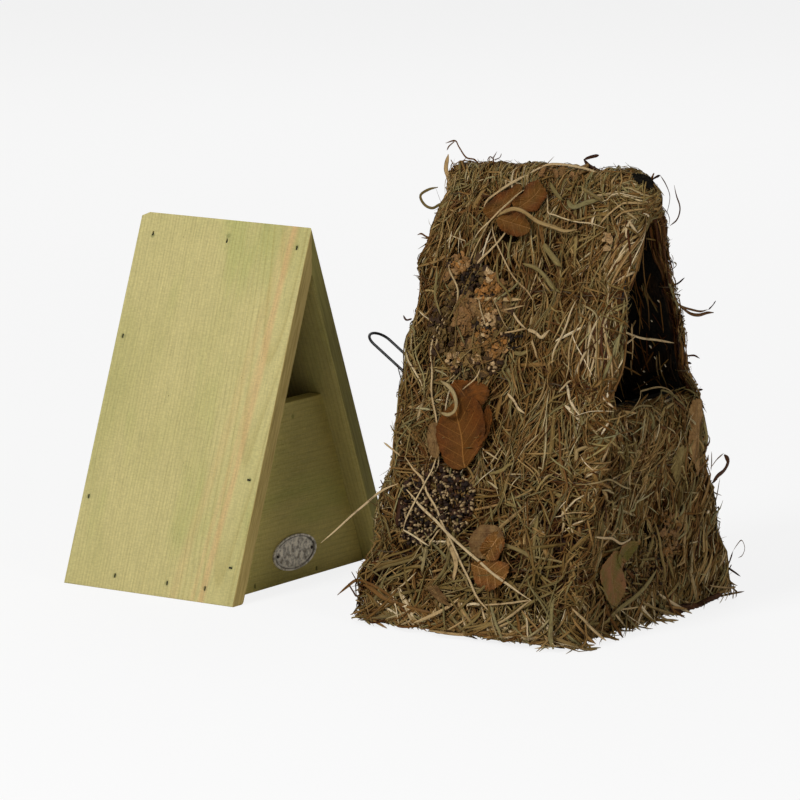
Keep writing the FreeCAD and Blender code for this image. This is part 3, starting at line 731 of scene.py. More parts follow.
def hay_material(name, *stops):
    """Dry grass. Each blade has a tone, which picks its colour, and a shade, which is painted shade and
    light: darker for deeper hay, lighter for the top blades, and random besides.
    """
    s = Shader(name, roughness=0.6, specular=0.14)
    tone = s.attribute("tone")
    across = s.attribute("across")
    along = s.attribute("along")
    p = s.place()
    base = s.ramp(tone, *stops)
    lines = s.noise(s.stretched((across, along, tone), 2.4, 3.0, 91.0), 2.2, 3.0)
    base = s.mix(0.5, base, s.ramp(lines, (0.3, 0.3), (0.7, 1.6)), "MULTIPLY")
    # Painted shade: each blade darker towards its edges, for the shade between neighbouring blades.
    rim = s.rising(s.math("ABSOLUTE", across), 0.55, 1.0)
    base = s.over(base, srgb(40, 24, 6), rim, 0.55)
    base = s.over(base, srgb(66, 42, 18), s.rising(s.noise(p, 190.0, 3.0), 0.54, 0.70), 0.45)
    brown = s.rising(s.noise(p, 24.0, 2.0), 0.48, 0.64)
    base = s.mix(s.times(brown, 0.5), base, (0.93, 0.83, 0.71, 1), "MULTIPLY")
    # Painted shade and light: a shade below 1 darkens the blade and turns it browner, and one above 1
    # lightens it.
    shade = s.attribute("shade")
    deep = s.math("MINIMUM", shade, 1.0)
    bright = s.math("MAXIMUM", shade, 1.0)
    green = s.times(s.math("POWER", deep, 1.55), s.math("POWER", bright, 1.2))
    blue = s.times(s.math("POWER", deep, 2.55), s.math("POWER", bright, 1.6))
    base = s.mix(1.0, base, s.joined(shade, green, blue), "MULTIPLY")
    s.colour(base)
    s.roughness(s.plus(0.48, s.times(lines, 0.2)))
    return s.material


hay_look = hay_material("hay", (0.0, srgb(62, 36, 12)), (0.14, srgb(92, 58, 24)), (0.28, srgb(116, 82, 38)),
                        (0.44, srgb(142, 111, 63)), (0.58, srgb(127, 106, 59)), (0.72, srgb(120, 110, 70)),
                        (0.84, srgb(172, 148, 105)), (0.93, srgb(197, 173, 133)), (1.0, srgb(214, 194, 154)))

# How far apart the bundles are that a binding wire gathers, and how far above and below it they reach
GATHER_SPACING = 24.0
GATHER_HEIGHT = 16.0


def binding_rows(wall):
    """Heights up a wall at which the binding wires cross it."""
    return [row / math.cos(LEAN) if wall in ("left", "right") else row for row in BINDING_ROWS]


def gathered(wall, t, v):
    """Draws the hay along a wall into bundles where the binding wires cross it."""
    for index, row in enumerate(binding_rows(wall)):
        turn = 2 * math.pi * t / GATHER_SPACING + 1.9 * index + 0.9 * np.sin(t * 0.06 + index)
        pull = 0.75 * GATHER_SPACING / (2 * math.pi) * np.exp(-((v - row) / GATHER_HEIGHT) ** 2)
        t = t - pull * np.sin(turn)
    return t


# The shares of the blades that are bent sharply, and that stand off at one end
KINKED_SHARE = 0.3
LOOSE_SHARE = 0.05


def lay_tufts(rng, wall, tufts, each, t_range, v_range, angle, spread, length, width, lift, rings=7,
              fold=False, tone=(0.0, 1.0), shade=(0.75, 1.1), scatter=(4.0, 9.0), top=None, clump=1.5):
    """Tufts of blades on a wall. angle is from straight up, positive towards +t, and may be a function.

    t_range of None is the whole wall. The other pairs are ranges, and scatter spreads a tuft's blades."""
    count = tufts * each
    half = WALLS[wall][1]

    def per_tuft(values):
        return np.repeat(values, each)

    v_tuft = rng.uniform(*v_range, tufts)
    if t_range is None:
        reach = half(np.minimum(v_tuft, 300)) + 3
        t_tuft = rng.uniform(-1, 1, tufts) * reach
    else:
        t_tuft = rng.uniform(*t_range, tufts)
    mean = angle(t_tuft, v_tuft) if callable(angle) else angle
    wide = spread(t_tuft, v_tuft) if callable(spread) else spread
    heading = per_tuft(mean + rng.normal(0, 1, tufts) * wide) + rng.normal(0, 11, count)
    heading = np.radians(heading)
    t0 = per_tuft(t_tuft) + rng.normal(0, scatter[0], count)
    v0 = per_tuft(v_tuft) + rng.normal(0, scatter[1], count)
    long = per_tuft(rng.uniform(*length, tufts)) * rng.uniform(0.6, 1.15, count)
    share = np.linspace(-0.5, 0.5, rings)
    s = share[None, :] * long[:, None]
    bend = rng.normal(0, 0.004, count)[:, None]
    wave = rng.normal(0, 0.035, count)[:, None]
    phase = rng.uniform(0, 6.28, count)[:, None]
    kink = (rng.random(count) < KINKED_SHARE) * rng.normal(0, 0.7, count)
    turn_at = rng.integers(2, rings - 2, count)
    turn = heading[:, None] + bend * s + wave * np.sin(phase + s / 14.0)
    turn = turn + kink[:, None] * (np.arange(rings)[None, :] >= turn_at[:, None])
    step = (long / (rings - 1))[:, None]
    dt = np.sin(turn) * step
    dv = np.cos(turn) * step
    t = t0[:, None] + np.cumsum(dt, 1) - dt.sum(1, keepdims=True) / 2
    v = v0[:, None] + np.cumsum(dv, 1) - dv.sum(1, keepdims=True) / 2
    depth = per_tuft(rng.uniform(0, 1, tufts)) * 0.6 + rng.uniform(0, 1, count) * 0.4
    base = lift[0] + (lift[1] - lift[0]) * depth
    arch = np.abs(rng.normal(0, 0.9, count))
    rise = base[:, None] + arch[:, None] * (1 - (2 * share[None, :]) ** 2)
    flying = rng.random(count) < LOOSE_SHARE
    end = np.where(rng.random(count) < 0.5, 1.0, -1.0)
    tip = np.clip(end[:, None] * share[None, :] * 2, 0, 1) ** 2
    rise = rise + flying[:, None] * tip * rng.uniform(2.0, 8.0, count)[:, None]
    v = v + np.maximum(1.0 + rng.uniform(0, 5, count) - v.min(1), 0)[:, None]
    if top is not None:
        v = v - np.maximum(v.max(1) - top - rng.uniform(-4, 1.5, count), 0)[:, None]
    edge = half(np.clip(v, 0, 300)) + rng.uniform(0, 6.5, count)[:, None]
    t = t - np.maximum((t - edge).max(1), 0)[:, None]
    t = t + np.maximum((-t - edge).max(1), 0)[:, None]
    place, normal = on_wall(wall, gathered(wall, t, v), v, rise, fold)
    place[..., 2] = np.maximum(place[..., 2], 0.6)
    wide = width[0] + (width[1] - width[0]) * rng.beta(1.4, 2.4, count)
    point = rng.uniform(1.5, 7.0, count)[:, None]
    widths = wide[:, None] * np.clip(1.1 - np.abs(share * 2)[None, :] ** point, 0.2, 1)
    crown = np.repeat(np.clip(0.42 - 0.09 * wide, 0.07, 0.4)[:, None], rings, 1)
    twist = rng.normal(0, 0.7, count)[:, None] + rng.normal(0, 0.9, count)[:, None] * share[None, :]
    tones = per_tuft(rng.beta(1.5, 1.5, tufts)) * 0.55 + rng.uniform(0, 1, count) * 0.45
    tones = tone[0] + (tone[1] - tone[0]) * tones
    # Painted shade: blades lower in their layer are darker, and light adds random lightness on top.
    light = 0.45 * per_tuft(rng.uniform(0, 1, tufts)) + 0.55 * rng.uniform(0, 1, count)
    shades = shade[0] + 1.12 * (shade[1] - shade[0]) * (0.25 * depth + 0.75 * light ** clump)
    shades = np.minimum(shades, 2.1 - 0.65 * tones)
    return place, normal, widths, crown, twist, tones, shades


def merge(groups):
    return [np.concatenate(parts) for parts in zip(*groups)]


def hay_layers(rng, wall, share, t_range, v_range, angle, spread, long=1.0, dim=1.0, broad=1.0, deep=1.0,
               **options):
    """Packed hay below, darkened as painted shade, tufts over it, and a thin scatter of long pale straws and
    short chaff on top. deep and dim scale the painted shade and light of the layers.
    """

    def layer(tufts, each, toss, length, width, lift, tone, shade, **more):
        return lay_tufts(rng, wall, int(tufts * share), each, t_range, v_range, angle, toss, length, width,
                         lift, tone=tone, shade=shade, **more, **options)

    return [
        layer(130, 9, spread, (36 * long, 80 * long), (0.9, 2.8), (-5.2, -2.0), (0.0, 0.7),
              (0.24 * deep, 0.62 * deep)),
        layer(390, 7, spread, (18 * long, 66 * long), (0.5 * broad, 2.3 * broad), (-3.2, 0.8), (0.0, 0.95),
              (0.38 * deep, 1.15 * dim)),
        layer(400, 5, spread, (12 * long, 60 * long), (0.45 * broad, 2.1 * broad), (-0.4, 3.6), (0.05, 1.0),
              (0.5 * deep, 1.6 * dim)),
        layer(110, 1, 40.0, (14, 38), (2.2, 4.2), (0.0, 3.2), (0.25, 0.95), (0.6, 1.2 * dim)),
        layer(1450, 1, 55.0, (4, 20), (0.45, 2.1), (-0.8, 4.0), (0.0, 1.0), (0.4, 1.7 * dim), rings=5),
    ]


def tie_wraps(rng, wall, t_range, low, high):
    """Brown strands twisted along the binding wires."""
    return [lay_tufts(rng, wall, 70, 1, t_range, (row - 1.5, row + 1.5), 90.0, 12.0, (8, 28), (0.4, 1.2),
                      (-0.5, 2.8), tone=(0.0, 0.36), shade=(0.45, 1.05), scatter=(4.0, 1.6))
            for row in binding_rows(wall) if low < row < high]


def flow(t, v):
    """The mean lean of the hay on the left wall: steep high up, and wrapping forward at the top front."""
    lean = np.where(v > 215, 8.0, np.where(v > 120, 4.0, 14.0)) + 8 * np.sin(v * 0.04 + t * 0.05)
    return lean + 34.0 * np.clip((t - 40) / 30, 0, 1) * np.clip((v - 270) / 25, 0, 1)


def disorder(t, v):
    """How far tufts on the left wall stray from the mean lean, in degrees: more and more further down."""
    return np.where((v > 215) & (t < 20), 12.0, np.where(v > 130, 22.0, 46.0))


def front_disorder(t, v):
    return np.where((t > 15) & (v < 90), 16.0, 46.0)


def press_under_loop(place):
    """Presses in the hay on the back wall where the hanging loop lies, hanging down or turned up."""
    staple_low, staple_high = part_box("hanger_staple")
    x, y, z = place[..., 0], place[..., 1], place[..., 2]
    middle = (staple_low.z + staple_high.z) / 2 / MM
    across = np.clip((18 - np.abs(x - COVER_X)) / 4, 0, 1)
    along = np.clip((82 - np.abs(z - middle)) / 5, 0, 1)
    proud = np.maximum(y - staple_high.y / MM + 5.4, 0)
    place[..., 1] = y - 0.85 * across * along * proud


def lay_hay(rng):
    for wall, node, side in (("left", "hay_left_wall", 1), ("right", "hay_right_wall", -1)):
        reach = (-HALF_DEPTH - 3, HALF_DEPTH + 2) if side > 0 else (-HALF_DEPTH - 2, HALF_DEPTH + 3)

        def lean(t, v):
            return side * flow(side * t, v)

        def toss(t, v):
            return disorder(side * t, v)

        top = RIDGE_TOP + 4
        low = hay_layers(rng, wall, 0.45, reach, (4, 135), lean, toss, 0.62, deep=0.88, top=top)
        high = hay_layers(rng, wall, 0.65, reach, (125, top - 16), lean, toss, deep=0.88, top=top)
        front_edge = tuple(sorted((60 * side, 86 * side)))
        strewn = [lay_tufts(rng, wall, 100, 1, reach, (5, 62), 15.0, 55.0, (28, 66), (1.4, 3.0), (1.5, 4.5),
                            tone=(0.5, 0.84), shade=(0.6, 1.1)),
                  lay_tufts(rng, wall, 44, 3, front_edge, (165, 314), 20.0 * side, 50.0, (8, 30), (0.6, 2.0),
                            (2.5, 5.8), tone=(0.1, 0.95), shade=(0.3, 1.25))]
        put_hay(node, merge_even(low + high + strewn + tie_wraps(rng, wall, reach, 0, 330)), 2)
    low = hay_layers(rng, "back", 0.5, None, (4, 140), flow, disorder, 0.62, top=COVER_TOP - 3)
    high = hay_layers(rng, "back", 0.45, None, (130, 306), flow, disorder, top=COVER_TOP - 3)
    back = merge_even(low + high + tie_wraps(rng, "back", None, 0, 280))
    press_under_loop(back[0])
    put_hay("hay_back_wall", back, 2)
    sill = hay_layers(rng, "front", 0.66, None, (3, SILL - 4), 24.0, front_disorder, 0.72, 1.35, 1.4, 0.5,
                      fold=True, top=SILL - 1, clump=2.3)
    sill.append(lay_tufts(rng, "front", 70, 1, None, (5, 70), 30.0, 55.0, (20, 55), (1.6, 3.2), (1.5, 4.5),
                          tone=(0.35, 0.9), shade=(0.5, 1.15)))
    put_hay("hay_front_sill", merge_even(sill + tie_wraps(rng, "front", None, 0, 130)), 1)


# Loose hay round the foot: wall, count, the ends along the wall, and how far out it reaches at each end
FRINGE = (
    ("left", 270, (-72, 85), (6, 18)),
    ("front", 130, (-108, 14), (17, 11)),
    ("front", 12, (14, 106), (6, 5)),
    ("right", 150, (-85, 85), (10, 12)),
    ("back", 120, (-106, 106), (10, 10)),
)


def lay_fringe(rng):
    """Loose hay spilling out round the foot."""
    groups = []
    rings = 8
    share = np.linspace(0, 1, rings)[None, :]
    for wall, count, ends, reach in FRINGE:
        t0 = rng.uniform(*ends, count)[:, None]
        side = np.where(rng.random(count) < 0.5, -1, 1)[:, None]
        run = side * (8 + 30 * rng.beta(0.9, 1.5, count)[:, None])
        start = rng.uniform(3, 30, count)[:, None]
        finish = rng.uniform(0, 6, count)[:, None]
        t = t0 + run * share
        v = start + (finish - start) * share ** 0.8
        swing = np.interp(t0, ends, reach) * rng.beta(1.3, 1.5, count)[:, None]
        out = rng.uniform(1.5, 4.5, count)[:, None] + swing * share ** 1.3
        place, normal = on_wall(wall, t, v, out)
        place[..., 2] = np.maximum(place[..., 2], 0.7)
        wide = rng.uniform(0.5, 2.6, count)
        widths = wide[:, None] * np.clip(1.1 - np.abs(share * 2 - 1) ** 4, 0.25, 1)
        groups.append(blade_group(place, normal, widths, 0.2, rng.normal(0, 0.4, (count, 1)),
                                  rng.uniform(0.35, 1.0, count), rng.uniform(0.5, 1.2, count)))
    blade_piece("foot_fringe", merge(groups))


def lay_edges(rng):
    """Straws that stick out along the cover's upright corners."""
    groups = []
    rings = 6
    count = 150
    share = np.linspace(0, 1, rings)[None, :, None]
    for wall, sign in (("left", -1), ("left", 1), ("right", -1), ("right", 1)):
        v = rng.uniform(8, RIDGE_START + 12, count)
        t = sign * (half_depth(v) - rng.uniform(-2, 7, count))
        start, normal = on_wall(wall, t, v, rng.uniform(-1.0, 1.5, count))
        out_axis, along_axis = np.array(WALLS[wall][2], float), np.array(WALLS[wall][3], float)
        way = sign * along_axis * rng.uniform(0.0, 0.7, (count, 1))
        way = way + out_axis * rng.uniform(-0.2, 0.5, (count, 1))
        way[:, 2] += np.where(rng.random(count) < 0.65, -1, 1) * rng.uniform(0.3, 1.4, count)
        way /= np.linalg.norm(way, axis=1, keepdims=True)
        long = (3 + 10 * rng.beta(1.2, 2.5, count))[:, None, None]
        droop = rng.normal(0, 0.25, (count, 1, 1)) * np.array([0, 0, 1.0])
        place = start[:, None] + long * (way[:, None] * share + droop * share ** 2)
        place[..., 2] = np.maximum(place[..., 2], 0.7)
        widths = rng.uniform(0.7, 2.2, count)[:, None] * np.linspace(1, 0.45, rings)
        groups.append(blade_group(place, np.repeat(normal[:, None], rings, 1), widths, 0.25,
                                  rng.normal(0, 0.6, (count, 1)), rng.uniform(0.05, 0.95, count),
                                  rng.uniform(0.4, 1.1, count)))
    blade_piece("corner_straws", merge(groups))


def merge_even(groups):
    """Joins layers whose blades have different numbers of rings, by resampling to seven."""
    rings = 7
    evened = []
    for group in groups:
        old = group[0].shape[1]
        if old != rings:
            at = np.linspace(0, old - 1, rings)
            low = np.minimum(at.astype(int), old - 2)
            part = at - low
            arrays = []
            for array in group[:5]:
                weight = part.reshape((1, rings) + (1,) * (array.ndim - 2))
                arrays.append(array[:, low] * (1 - weight) + array[:, low + 1] * weight)
            group = tuple(arrays) + tuple(group[5:])
        evened.append(group)
    return merge(evened)


def put_hay(node, blades, pieces):
    """Shares blades out over some pieces, the first of which takes a CAD node's place."""
    for part in range(pieces):
        piece = blade_piece(f"{node}_straw_{part + 1}", [array[part::pieces] for array in blades])
        if part == 0:
            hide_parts(node)


def lay_crown(rng):
    groups = []
    for wall, side in (("left", 1), ("right", -1)):
        groups += hay_layers(rng, wall, 0.26, (-HALF_DEPTH, HALF_DEPTH), (296, RIDGE_TOP + 8),
                             lambda t, v: side * flow(side * t, v), 24.0, 0.7)
    groups += hay_layers(rng, "front", 0.16, (-26, 26), (APEX + 7, 309), 62.0, 14.0, 0.45, top=COVER_TOP - 2,
                         scatter=(4.0, 3.0))
    groups += hay_layers(rng, "back", 0.08, (-26, 26), (APEX + 1, 309), 0.0, 30.0, 0.4, top=COVER_TOP - 2)
    put_hay("hay_crown", merge_even(groups), 2)


# The sheaves at the opening's edges: height up the left wall, place from its middle, and half width
SHEAF_SPINE = ((150, 77, 12), (182, 75, 9.5), (200, 76, 12), (218, 76, 12.5), (247, 72, 8.5), (266, 78, 11.5),
               (288, 82, 13), (305, 86, 11), (322, 89, 8))

# Specks of light through the back wall, painted as pale bits of chaff on the lining inside the right wall, as
# t and v on that wall
PAINTED_LIGHT_SPECKS = ((-64, 194), (-73, 190), (-68, 186), (-52, 183), (-51, 172), (-61, 202), (-65, 222), (-75, 239),
               (-50, 162))

SHEAF_RINGS = 12
SHEAF_SHARE = np.linspace(-0.5, 0.5, SHEAF_RINGS)
SHEAF_TAPER = np.clip(1.1 - np.abs(SHEAF_SHARE * 2) ** 6, 0.3, 1)

# The slanting edges above the opening, as height and place on the front wall, for its left and right side
OPENING_EDGES = (
    (-1, ((232, -37), (240, -30), (250, -23), (260, -17), (266, -11), (275, -6), (284, -3))),
    (1, ((232, 30), (240, 26), (250, 20), (259, 14), (270, 8), (284, 3))),
)


def side_sheaves(rng):
    """Bundles of long pale straw along both side walls' front edges, tied at the binding rows."""
    groups = []
    share = SHEAF_SHARE
    spine = np.array(SHEAF_SPINE)
    # dim darkens the right side's straws as painted shade, for the shaded right edge of the opening.
    for wall, side, raised, dim in (("left", 1, 1.0, 1.0), ("right", -1, 0.5, 0.46)):
        for low, high, count in ((158, 182, 60), (182, 247, 150), (247, 312, 130)):
            middle = (low + high) / 2 + rng.normal(0, 8, count)
            long = (high - low) * rng.uniform(0.2, 1.05, count) * (1.0 if side > 0 else 0.45)
            if side < 0:
                middle = rng.uniform(low, high, count)
            off = rng.uniform(-1.1, 1, count)[:, None]
            ends_v = middle[:, None] + np.array([-0.5, 0.5]) * long[:, None]
            ends_off = off + rng.normal(0, 0.8, (count, 2))
            ends_t = (np.interp(ends_v, spine[:, 0], spine[:, 1])
                      + ends_off * np.interp(ends_v, spine[:, 0], spine[:, 2]))
            v = ends_v[:, :1] + (share + 0.5) * (ends_v[:, 1:] - ends_v[:, :1])
            t = ends_t[:, :1] + (share + 0.5) * (ends_t[:, 1:] - ends_t[:, :1])
            t = t + rng.normal(0, 1.2, (count, 1)) * np.cos(math.pi * share)
            t = np.minimum(t, half_depth(v) + 5)
            bulge = np.clip(np.sin(math.pi * (v - low) / (high - low)), 0, 1)
            mound = np.sqrt(np.clip(1 - off ** 2, 0, 1))
            lift = rng.uniform(-0.5, 3.0, count)[:, None] * (0.5 + 0.5 * mound) + raised * 2.6 * bulge * mound
            place, normal = on_wall(wall, side * t, v, lift)
            widths = rng.uniform(0.6, 2.5, count)[:, None] * SHEAF_TAPER
            groups.append(blade_group(place, normal, widths, 0.3, rng.normal(0, 0.6, (count, 1)),
                                      0.12 + 0.86 * rng.beta(2.0, 1.3, count),
                                      dim * rng.uniform(0.2, 1.6, count)))
    return groups


def slanting_edges(rng):
    """Straws on the front wall above the opening, down both slanting edges."""
    groups = []
    count = 130
    for side, edge in OPENING_EDGES:
        edge = np.array(edge, float)
        middle = rng.uniform(238, 292, count)
        v = middle[:, None] + SHEAF_SHARE * rng.uniform(10, 36, count)[:, None]
        part = rng.uniform(0, 1, count)[:, None] + rng.normal(0, 0.25, (count, 1)) * SHEAF_SHARE
        t = np.interp(v, edge[:, 0], edge[:, 1])
        t = t + np.clip(part, 0, 1.1) * (side * half_width(v) - t)
        place, normal = on_wall("front", t, v, rng.uniform(-5.0, 1.5, count)[:, None])
        widths = rng.uniform(0.6, 2.3, count)[:, None] * SHEAF_TAPER
        # The right edge's straws are darkened as painted shade.
        groups.append(blade_group(place, normal, widths, 0.25, rng.normal(0, 0.6, (count, 1)),
                                  rng.uniform(0.05, 0.95, count),
                                  rng.uniform(0.35, 1.15, count) * (1.0 if side < 0 else 0.52)))
    return groups


def upright_edges(rng):
    """Straws wrapped round both upright edges of the opening."""
    groups = []
    count = 55
    for side in (-1, 1):
        for low, high in ((SILL - 30, 173), (173, 235), (235, APEX + 10)):
            middle = (low + high) / 2 + rng.normal(0, 5, count)
            long = (high - low) * rng.uniform(0.5, 1.15, count) * (1.0 if side < 0 else 0.4)
            if side > 0:
                middle = rng.uniform(low, high, count)
            z = middle[:, None] + SHEAF_SHARE * long[:, None]
            around = rng.uniform(-2.9, 0.9, count)[:, None]
            around = around + rng.normal(0, 0.35, count)[:, None] * SHEAF_SHARE
            radius = 2.4 + 1.6 * rng.random(count)[:, None]
            x = side * (half_width(z) - 4.8) + side * radius * np.sin(-around)
            y = -(half_depth(z) - 4.8) - radius * np.cos(around)
            place = np.stack([x + COVER_X, y + COVER_Y, z], -1)
            normal = np.stack([side * np.sin(-around), -np.cos(around), 0.1 + 0 * z], -1)
            widths = rng.uniform(0.8, 2.6, count)[:, None] * SHEAF_TAPER
            # The right edge's straws are darkened as painted shade.
            groups.append(blade_group(place, normal, widths, 0.22, rng.normal(0, 0.4, (count, 1)),
                                      rng.uniform(0.1, 0.9, count),
                                      rng.uniform(0.35, 0.85, count) * (1.0 if side < 0 else 0.45)))
    return groups


def sill_lip(rng):
    """Straws that lie along the front sill's rounded lip."""
    count = 240
    x0 = rng.uniform(-50, 50, count)
    long = rng.uniform(10, 40, count)
    slant = rng.normal(0, 0.15, count)
    x = np.clip(x0[:, None] + SHEAF_SHARE * long[:, None], -57, 57)
    around = rng.uniform(-1.9, 2.2, count)[:, None] + rng.normal(0, 0.9, count)[:, None] * SHEAF_SHARE
    radius = rng.uniform(1.5, 4.6, count)[:, None]
    z = SILL - 6.5 + radius * np.cos(around) + slant[:, None] * SHEAF_SHARE * long[:, None]
    y = -(half_depth(SILL) - 4.5) - radius * np.sin(around)
    place = np.stack([x + COVER_X, y + COVER_Y, z], -1)
    normal = np.stack([0 * z, -np.sin(around), np.cos(around)], -1)
    widths = rng.uniform(0.8, 2.9, count)[:, None] * SHEAF_TAPER
    return blade_group(place, normal, widths, 0.22, rng.normal(0, 0.4, (count, 1)) * SHEAF_SHARE,
                       rng.beta(2.3, 1.8, count), rng.uniform(0.5, 1.2, count))


def inner_straws(rng):
    """Straws on the lining inside the right wall, and pale specks of chaff on it that are painted light."""
    count = 150
    t = rng.uniform(-78, 40, count)[:, None] + rng.normal(0, 9, count)[:, None] * SHEAF_SHARE
    long = rng.uniform(5, 30, count)
    v = rng.uniform(165, 300, count)[:, None] + SHEAF_SHARE * long[:, None]
    place, normal = on_wall("right", t, v, rng.uniform(-12.0, -10.2, count)[:, None])
    widths = rng.uniform(0.7, 1.8, count)[:, None] * SHEAF_TAPER
    straws = blade_group(place, -normal, widths, 0.2, 0.0, rng.uniform(0.2, 0.95, count),
                         rng.uniform(0.3, 0.9, count))
    # Painted light: bright specks that stand for light seen through gaps in the back wall.
    t, v = np.array(PAINTED_LIGHT_SPECKS, float).T
    along = SHEAF_SHARE * rng.uniform(1.4, 3.0, len(t))[:, None]
    place, normal = on_wall("right", t[:, None] + 0.7 * along, v[:, None] + along, -10.6)
    widths = rng.uniform(1.0, 1.9, len(t))[:, None] * SHEAF_TAPER
    chaff = blade_group(place, -normal, widths, 0.3, 0.0, np.full(len(t), 1.0), np.full(len(t), 1.25))
    return [straws, chaff]


def lay_sheaves(rng):
    """The straw round the opening, from its side walls to the sill's lip and what shows inside."""
    groups = side_sheaves(rng) + slanting_edges(rng) + upright_edges(rng)
    groups.append(sill_lip(rng))
    blade_piece("opening_sheaves", merge(groups + inner_straws(rng)))


# The packed hay under the blades is partly painted shade: hay, coloured near black for the shade in the gaps
# between the blades.
def core_material():
    s = Shader("packed_hay", roughness=0.85, specular=0.12)
    p = s.place()
    strands = s.noise(s.vector("MULTIPLY", p, (420.0, 420.0, 60.0)), 1.0, 4.0, 0.65, 0.6)
    s.colour(s.ramp(strands, (0.35, srgb(14, 8, 3)), (0.52, srgb(34, 22, 9)), (0.7, srgb(66, 46, 22))))
    s.bump(strands, 0.0016, 1.0)
    return s.material


def core_slab(name, wall, half, v_range, columns, rows, material, inner=-8.0, outer=-4.6):
    """A closed slab of packed hay under the blades, between two lifts. half is its half width at v."""
    v = np.linspace(*v_range, rows)
    t = half(v)[:, None] * np.linspace(-1, 1, columns)[None, :]
    vv = np.repeat(v[:, None], columns, 1)
    top, normal = on_wall(wall, t, vv, outer)
    bottom, _ = on_wall(wall, t, vv, inner)
    grain = np.sin(top[..., 0] * 0.9 + top[..., 1] * 1.1) * np.sin(top[..., 2] * 0.35) * 0.5
    top = top + normal * grain[..., None]
    top[..., 2] = np.maximum(top[..., 2], 1.0)
    bottom[..., 2] = np.maximum(bottom[..., 2], 1.0)
    points = np.concatenate([top.reshape(-1, 3), bottom.reshape(-1, 3)])
    new_piece(name, points, shell_faces(rows, columns), material, smooth=True)


def shell_faces(rows, columns):
    """Faces of a closed shell made of two rows x columns grids, the second below the first."""
    index = np.arange(rows * columns).reshape(rows, columns)
    far = rows * columns
    below = index + far
    rim = np.concatenate([index[0, :-1], index[:-1, -1], index[-1, :0:-1], index[:0:-1, 0]])
    after = np.roll(rim, -1)
    return np.concatenate([
        np.stack([index[:-1, :-1], index[:-1, 1:], index[1:, 1:], index[1:, :-1]], -1).reshape(-1, 4),
        np.stack([below[1:, :-1], below[1:, 1:], below[:-1, 1:], below[:-1, :-1]], -1).reshape(-1, 4),
        np.stack([after, rim, rim + far, after + far], -1)])


def lay_cores():
    look = core_material()
    reach = CORNER * math.pi / 2 + 0.5 - CORNER
    for wall in ("left", "right"):
        core_slab("packed_hay_" + wall, wall, lambda v: half_depth(v) + reach, (1.0, RIDGE_TOP), 60, 110,
                  look, -7.0)
    core_slab("packed_hay_back", "back", lambda v: half_width(v) - 7, (1.0, 300), 60, 90, look)
    core_slab("packed_hay_front", "front", lambda v: half_width(v) - 7, (1.0, SILL - 2), 60, 60, look)
    for wall in ("front", "back"):
        core_slab("packed_hay_crown_" + wall, wall, lambda v: np.maximum(half_width(v) - 3, 2),
                  (WALL_TOP + 2, COVER_TOP - 4), 16, 16, look, -10, -5.0)


